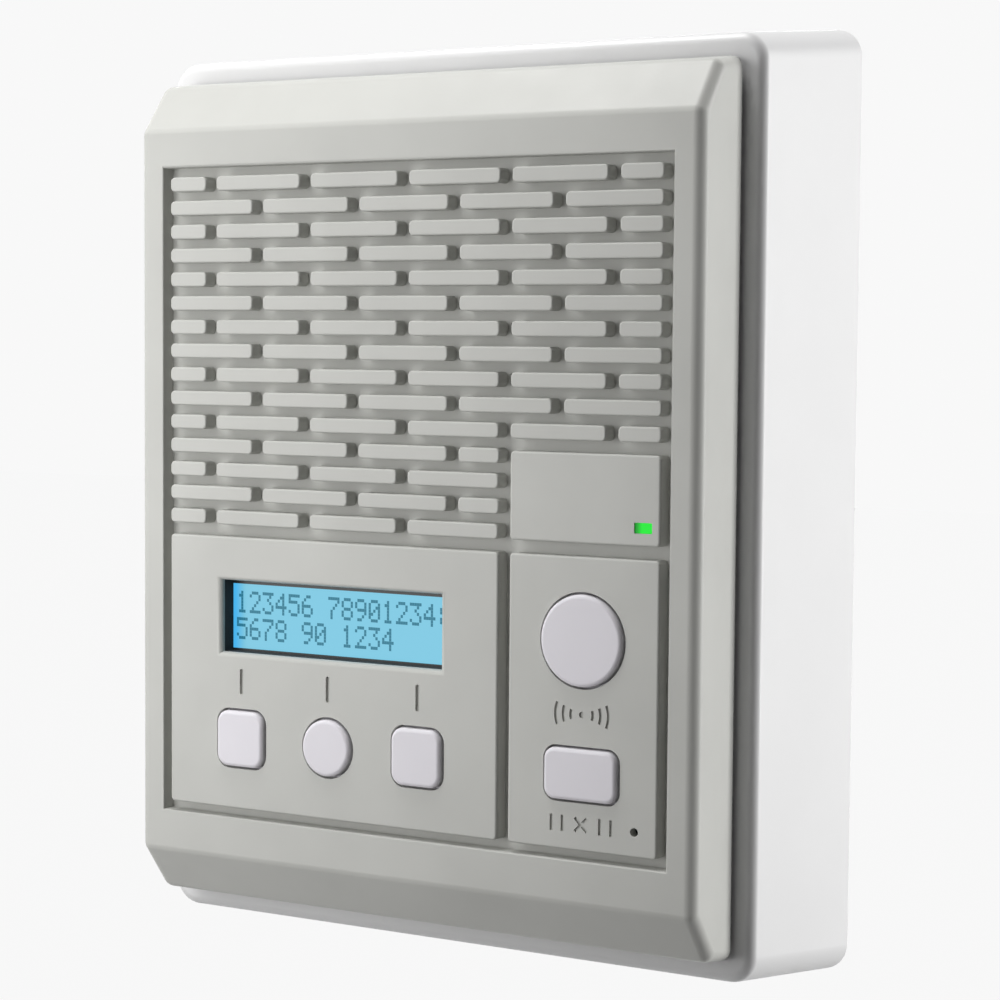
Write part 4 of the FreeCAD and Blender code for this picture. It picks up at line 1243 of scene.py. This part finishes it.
@dataclass(frozen=True)
class ButtonShape:
    """Outline of one key or button in the front view."""

    name: str
    x: float
    z: float
    width: float
    height: float
    corner: float

    def prism(self, name: str, spare: float, ends: Pair) -> Workpiece:
        """Shapes the outline, made larger all round, between two Y places.

        Args:
            name: The object's name.
            spare: How much larger it is.
            ends: Y of its front and of its rear.

        Returns:
            The new workpiece.
        """
        wide = self.width / 2 + spare
        tall = self.height / 2 + spare
        if same(self.corner, self.width / 2):
            return Workpiece.rod(name, self.x, self.z, wide, ends, 64)
        corners = around(self.x, self.z, wide, tall, ends)
        return Workpiece.soft_block(name, *corners, self.corner + spare, 8)

    def cutter(self, clearance: float) -> Workpiece:
        """Gives the cutter of the button's hole."""
        return self.prism("hole", clearance, HERE.inwards(HERE.floor_depth))


@dataclass
class Buttons:
    """The three keys and the two call buttons, each with its flange and stem."""

    KEYS: ClassVar[tuple[str, ...]] = ("left_key", "round_key", "right_key")

    proud: float = 1.0
    clearance: float = 0.5
    edge: float = 0.9
    flange_depth: float = 2.45
    flange_width: float = 1.3
    flange_thickness: float = 1.2
    stem_radius: float = 2.2
    stem_depth: float = 7.0
    key_size: float = 12.4
    key_corner: float = 2.8
    key_pitch: float = 23.2
    key_above_bottom: float = 15.7
    call_diameter: float = 19.0
    call_below_top: float = 17.2
    cancel_width: float = 17.0
    cancel_height: float = 10.7
    cancel_corner: float = 2.4
    shapes: list[ButtonShape] = field(init=False)

    def __post_init__(self) -> None:
        """Sets out the outlines."""
        keys_x = HERE.x(sum(HERE.display_column) / 2)
        calls_x = HERE.x(sum(HERE.call_column) / 2)
        keys_z = HERE.z(HERE.lower_pads[1] - self.key_above_bottom)
        call_z = HERE.z(HERE.lower_pads[0] + self.call_below_top)
        size = self.key_size
        call = self.call_diameter
        rows = zip(self.KEYS, (-1, 0, 1), (self.key_corner, size / 2, self.key_corner))
        self.shapes = [ButtonShape(name, keys_x + step * self.key_pitch, keys_z, size, size, corner)
                       for name, step, corner in rows]
        self.shapes.append(ButtonShape("call_button", calls_x, call_z, call, call, call / 2))
        self.shapes.append(ButtonShape("cancel_button", calls_x, keys_z, self.cancel_width,
                                       self.cancel_height, self.cancel_corner))

    def build(self) -> None:
        """Shapes every key and button on its own body."""
        for shape in self.shapes:
            self._button(shape)

    def _button(self, shape: ButtonShape) -> None:
        """Shapes one cap, widens its rear to the flange and adds the stem.

        Args:
            shape: The button's outline.
        """
        front = HERE.front - self.proud
        flange = HERE.y(self.flange_depth)
        piece = shape.prism(shape.name + "_cap", 0.0, (front, flange))
        piece.soften(front, self.edge, 5)
        factors = (1 + 2 * self.flange_width / shape.width, 1.0,
                   1 + 2 * self.flange_width / shape.height)
        piece.pick_faces(lambda normal: normal.y > FACING).extrude()
        piece.widen(factors, (shape.x, flange, shape.z)).extrude(self.flange_thickness).leave()
        ends = (flange + self.flange_thickness / 2, HERE.y(self.stem_depth))
        piece.weld(Workpiece.rod("stem", shape.x, shape.z, self.stem_radius, ends, SMALL_SIDES))
        piece.shade().fit(KEY_PLASTIC, "key_plastic", shape.name, shape.name)


# Display

@dataclass
class Screen:
    """Lit glass of the display with rows of plain digits."""

    ROWS: ClassVar[tuple[str, ...]] = ("123456 78901234:", "5678 90 1234")
    DIGITS: ClassVar[dict[str, str]] = {
        "0": "01110 10001 10011 10101 11001 10001 01110",
        "1": "00100 01100 00100 00100 00100 00100 01110",
        "2": "01110 10001 00001 00010 00100 01000 11111",
        "3": "11111 00010 00100 00010 00001 10001 01110",
        "4": "00010 00110 01010 10010 11111 00010 00010",
        "5": "11111 10000 11110 00001 00001 10001 01110",
        "6": "00110 01000 10000 11110 10001 10001 01110",
        "7": "11111 00001 00010 00100 01000 01000 01000",
        "8": "01110 10001 10001 01110 10001 10001 01110",
        "9": "01110 10001 10001 01111 00001 00010 01100",
        ":": "00000 01100 01100 00000 01100 01100 00000",
    }

    depth: float = 4.9
    thickness: float = 1.8
    width: float = 69.0
    height: float = 23.0
    down: float = 99.4
    edge: float = 0.15
    dot_width: float = 0.57
    dot_height: float = 0.67
    dot_pitch_x: float = 0.6
    dot_pitch_z: float = 0.7
    dot_proud: float = 0.02
    letter_pitch: float = 3.55
    row_pitch: float = 5.95
    first_across: float = 16.95
    first_down: float = 93.8

    def build(self) -> None:
        """Shapes the glass and sets out the dots of the digits."""
        x = HERE.x(sum(HERE.display_column) / 2)
        front = HERE.y(self.depth)
        glass = Workpiece.block("display_screen", *around(
            x, HERE.z(self.down), self.width / 2, self.height / 2, (front, front + self.thickness)))
        glass.pick_edges(lambda a, b: True).bevel(self.edge, 2).shade()
        digits = self._digits(front)
        glass.fit(SCREEN, "display_glass", STATION, "display_glass")
        digits.fit(SCREEN_INK, "display_glass", STATION)

    def _lit_places(self) -> list[Pair]:
        """Gives (across, down) of every lit dot.

        Returns:
            The left and top edges of the dots.
        """
        found = []
        for row, text in enumerate(self.ROWS):
            top = self.first_down + row * self.row_pitch
            for column, sign in enumerate(text):
                left = self.first_across + column * self.letter_pitch
                for line, bits in enumerate(self.DIGITS.get(sign, "").split()):
                    found += [(left + bit * self.dot_pitch_x, top + line * self.dot_pitch_z)
                              for bit, lit in enumerate(bits) if lit == "1"]
        return found

    def _digits(self, front: float) -> Workpiece:
        """Copies one dot to every lit place of the characters.

        Args:
            front: Y of the glass's front.

        Returns:
            All dots as one workpiece.
        """
        dot = Workpiece.block("dot", (0.0, front - self.dot_proud, -self.dot_height),
                              (self.dot_width, front + self.dot_proud, 0.0))
        dots = [dot.copied("dot", (HERE.x(a), 0.0, HERE.z(d))) for a, d in self._lit_places()]
        dot.discard()
        piece = dots[0].joined(dots[1:])
        piece.obj.name = "display_digits"
        return piece


# Wall box

@dataclass
class WallBox:
    """White drafted box that lies on the wall."""

    front_width: float = 150.0
    front_height: float = 194.4
    draft_deg: float = 6.2
    corner: float = 6.0
    edge: float = 2.0
    wall: float = 2.6
    lip: float = 11.0
    opening_corner: float = 4.0
    hole_radius: float = 2.25
    hole_x: float = 60.0
    hole_z: float = 80.0
    entry_radius: float = 7.5
    entry_z: float = -68.0
    post_radius: float = 3.6
    post_x: float = 50.0
    post_z: Pair = (-39.0, 55.0)
    post_front: float = -8.6
    screw_x: float = 45.0
    screw_y: float = -31.2
    screw_boss_radius: float = 4.2
    screw_head_radius: float = 3.1
    screw_shank_radius: float = 1.8
    counterbore: float = 2.5

    def build(self) -> None:
        """Shapes the box, hollows it and drills its holes."""
        front = HERE.box_front
        piece = self._tapered("wall_box", (front, 0.0), 0.0, self.corner)
        piece.soften(front, self.edge, 6)
        inset = self.wall / math.cos(math.radians(self.draft_deg))
        inner = front + self.wall
        piece.cut(self._tapered("cavity", (inner, -self.wall), inset, self.corner - self.wall / 2))
        tall = self.front_height / 2 - self.lip
        opening = around(0, 0, self.front_width / 2 - self.lip, tall,
                         (front - HERE.spare, inner + HERE.spare))
        piece.cut(Workpiece.soft_block("opening", *opening, self.opening_corner))
        piece.weld(*self._posts(tall))
        piece.cut(*self._holes(tall))
        piece.clean().shade().fit(WHITE_PLASTIC, "white_plastic", STATION, "back_box")

    def _half(self, size: float, y: float, inset: float) -> float:
        """Gives half of the drafted width or height at a Y place."""
        growth = (y - HERE.box_front) * math.tan(math.radians(self.draft_deg))
        return size / 2 + growth - inset

    def _tapered(self, name: str, ends: Pair, inset: float, corner: float) -> Workpiece:
        """Shapes a drafted block with rounded corners.

        Args:
            name: The object's name.
            ends: Y of its front and of its rear.
            inset: How much smaller it is all round.
            corner: The corner radius in the front view.

        Returns:
            The new workpiece.
        """
        x0, x1 = (self._half(self.front_width, y, inset) for y in ends)
        z0, z1 = (self._half(self.front_height, y, inset) for y in ends)
        piece = Workpiece.block(name, *around(0, 0, x1, z1, ends))
        piece.pick_faces(lambda normal: normal.y < -FACING)
        piece.widen((x0 / x1, 1.0, z0 / z1), (0.0, ends[0], 0.0)).leave()
        piece.pick_edges(lambda a, b: abs(a.y - b.y) > (ends[1] - ends[0]) / 2)
        return piece.bevel(corner, 10)

    def _posts(self, opening_half: float) -> list[Workpiece]:
        """Gives the posts of the main board and of the panel's screws.

        Args:
            opening_half: Half the height of the opening.

        Returns:
            The posts.
        """
        ends = (self.post_front, -self.wall / 2)
        found = [Workpiece.rod("post", side * self.post_x, z, self.post_radius, ends, POST_SIDES)
                 for side in (-1, 1) for z in self.post_z]
        ends = (-self.front_height / 2 + self.wall / 2, -opening_half)
        return found + [Workpiece.post("screw_post", side * self.screw_x, self.screw_y,
                                       self.screw_boss_radius, ends) for side in (-1, 1)]

    def _holes(self, opening_half: float) -> list[Workpiece]:
        """Gives the cutters of the wall holes, the cable entry and the screws.

        Args:
            opening_half: Half the height of the opening.

        Returns:
            The cutters.
        """
        through = (-self.wall - HERE.spare, HERE.spare)
        found = [Workpiece.rod("wall_hole", sx * self.hole_x, sz * self.hole_z, self.hole_radius,
                               through, POST_SIDES) for sx in (-1, 1) for sz in (-1, 1)]
        found.append(Workpiece.rod("entry", 0, self.entry_z, self.entry_radius, through))
        seat = -self.front_height / 2 + self.counterbore
        shank = (self.screw_shank_radius, (seat - HERE.spare, HERE.spare - opening_half))
        head = (self.screw_head_radius, (seat - 3 * self.wall, seat))
        for side in (-1, 1):
            for radius, ends in (shank, head):
                found.append(Workpiece.post("bore", side * self.screw_x, self.screw_y, radius, ends))
        return found


# Pieces that keep the shape of their solids

class InnerWorks:
    """Finishes of the solids that stay as they are."""

    FINISHES: ClassVar[tuple[tuple[Coat, tuple[str, ...]], ...]] = (
        (SEAL_RUBBER, ("panel_gasket", "cable_grommet", "microphone_boot", "speaker_surround",
                       "display_contact_strips")),
        (FOAM, ("speaker_gasket", "display_seal")),
        (CLOTH, ("speaker_cloth",)),
        (PAPER, ("speaker_cone", "speaker_dust_cap", "speaker_spider")),
        (ZINC, ("panel_screws", "speaker_basket", "speaker_top_plate", "speaker_back_plate",
                "speaker_clamps", "speaker_screws", "display_screws", "control_screws",
                "main_board_screws", "terminal_screws", "radio_shield")),
        (BLACK_STEEL, ("display_bezel", "microphone")),
        (FERRITE, ("speaker_magnet",)),
        (COPPER, ("speaker_voice_coil",)),
        (GREEN_BOARD, ("display_board", "control_board", "main_board")),
        (BLUE_BOARD, ("radio_board",)),
        (BLACK_PLASTIC, ("speaker_terminals", "key_switches", "board_chips", "antenna",
                         "ribbon_sockets", "left_key_plunger", "round_key_plunger",
                         "right_key_plunger", "call_button_plunger", "cancel_button_plunger")),
        (DIFFUSER, ("display_backlight",)),
        (CAN, ("board_capacitors",)),
        (GREEN_PLASTIC, ("terminal_block",)),
        (RIBBON, ("ribbon_cable", "display_lead")),
        (LEAD_RED, ("speaker_leads",)),
        (LIGHT, ("light_pipe", "status_led")),
    )

    def dress(self) -> None:
        """Gives every carried-over node its finish."""
        for finish, names in self.FINISHES:
            for name in names:
                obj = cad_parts[name]
                obj.data.materials.clear()
                obj.data.materials.append(finish.material())
                log.info("%s keeps its shape with %s", name, finish.name)


# Studio

@dataclass(frozen=True)
class Lamp:
    """One soft rectangular lamp."""

    name: str
    place: Triple
    aim: Triple
    width: float
    height: float
    watts: float

    def hang(self) -> None:
        """Adds the lamp and turns it to its aim."""
        data = bpy.data.lights.new(self.name, "AREA")
        data.shape = "RECTANGLE"
        data.size = self.width * MM
        data.size_y = self.height * MM
        data.energy = self.watts
        obj = bpy.data.objects.new(self.name, data)
        bpy.context.scene.collection.objects.link(obj)
        obj.location = Vector(self.place) * MM
        way = Vector(self.aim) - Vector(self.place)
        obj.rotation_euler = way.to_track_quat("-Z", "Y").to_euler()
        obj.visible_camera = False


@dataclass
class Studio:
    """Pale floor and background, soft lamps and the camera at the photograph's angle."""

    LAMPS: ClassVar[tuple[Lamp, ...]] = (
        Lamp("key_lamp", (-150.0, -264.0, 34.0), (-42.0, -56.0, 10.0), 260.0, 360.0, 0.85),
        Lamp("side_lamp", (790.0, 470.0, 110.0), (75.0, -20.0, 0.0), 420.0, 800.0, 9.8),
        Lamp("top_lamp", (-100.0, -110.0, 480.0), (0.0, -50.0, 0.0), 280.0, 200.0, 2.0),
        Lamp("rear_lamp", (-700.0, 1000.0, 100.0), (0.0, 0.0, 0.0), 700.0, 700.0, 12.0),
    )

    eye: Triple = (305.09, -518.63, 35.27)
    yaw_deg: float = 31.266
    pitch_deg: float = 3.929
    roll_deg: float = 0.442
    lens: float = 94.224
    sensor: float = 36.0
    shift_y: float = 0.018
    floor_z: float = -620.0
    floor_half: float = 9000.0
    floor_thickness: float = 20.0
    ambient: float = 0.05
    ambient_tint: Color = (0.98, 0.95, 1.0)
    backdrop: float = 0.94
    floor_glow: float = 0.963
    floor_paint: float = 0.5
    floor_share: float = 0.97

    def build(self) -> None:
        """Sets up floor, background, lamps and camera."""
        self._floor()
        self._background()
        for lamp in self.LAMPS:
            lamp.hang()
        self._camera()
        bpy.context.scene.view_settings.view_transform = "Standard"

    def _seen(self, bench: NodeBench) -> Socket:
        """Gives 1 for rays that show the background: camera, glossy and transmission.

        Args:
            bench: The bench of the floor or the world.

        Returns:
            The factor.
        """
        rays = bench.add("ShaderNodeLightPath").outputs
        shown = bench.highest(rays["Is Camera Ray"], rays["Is Glossy Ray"])
        return bench.highest(shown, rays["Is Transmission Ray"])

    def _floor(self) -> None:
        """Adds the pale floor, which shows the background's white with a soft shadow."""
        half = self.floor_half
        piece = Workpiece.block("floor", (-half, -half, self.floor_z - self.floor_thickness),
                                (half, half, self.floor_z))
        bench = NodeBench(bpy.data.materials.new("pale_floor"))
        paint = bench.add("ShaderNodeBsdfDiffuse", Color=(self.floor_paint,) * 3 + (1,))
        light = bench.add("ShaderNodeEmission", Color=(self.floor_glow,) * 3 + (1,))
        share = bench.add("ShaderNodeMath", operation="MULTIPLY")
        share.inputs[1].default_value = self.floor_share
        bench.wire(self._seen(bench), share.inputs[0])
        bench.show_either(share.outputs["Value"], paint, light)
        piece.obj.data.materials.append(bench.owner)

    def _background(self) -> None:
        """Shows a near-white world and lights the object with a dimmer one."""
        world = bpy.data.worlds.new("pale_world")
        bpy.context.scene.world = world
        bench = NodeBench(world, "ShaderNodeOutputWorld")
        lit = bench.add("ShaderNodeBackground", Color=(*self.ambient_tint, 1),
                        Strength=self.ambient)
        seen = bench.add("ShaderNodeBackground", Color=(self.backdrop,) * 3 + (1,))
        bench.show_either(self._seen(bench), lit, seen)

    def _camera(self) -> None:
        """Sets up the camera where the photograph was taken from."""
        data = bpy.data.cameras.new("camera")
        data.lens = self.lens
        data.sensor_width = self.sensor
        data.shift_y = self.shift_y
        data.clip_start = 0.01
        data.clip_end = 50.0
        obj = bpy.data.objects.new("camera", data)
        bpy.context.scene.collection.objects.link(obj)
        turn = (Matrix.Rotation(math.radians(self.yaw_deg), 4, "Z")
                @ Matrix.Rotation(math.radians(90.0 - self.pitch_deg), 4, "X")
                @ Matrix.Rotation(math.radians(self.roll_deg), 4, "Z"))
        obj.matrix_world = Matrix.Translation(Vector(self.eye) * MM) @ turn
        bpy.context.scene.camera = obj


def main() -> None:
    """Builds the looks in order, from the panel to the studio."""
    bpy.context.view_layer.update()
    bars = GrilleBars()
    buttons = Buttons()
    PanelFrame().build(bars.slot_places())
    bars.build()
    PanelPads().build(buttons)
    buttons.build()
    Screen().build()
    WallBox().build()
    InnerWorks().dress()
    Studio().build()
    select_nothing()


if __name__ == "__main__":
    main()
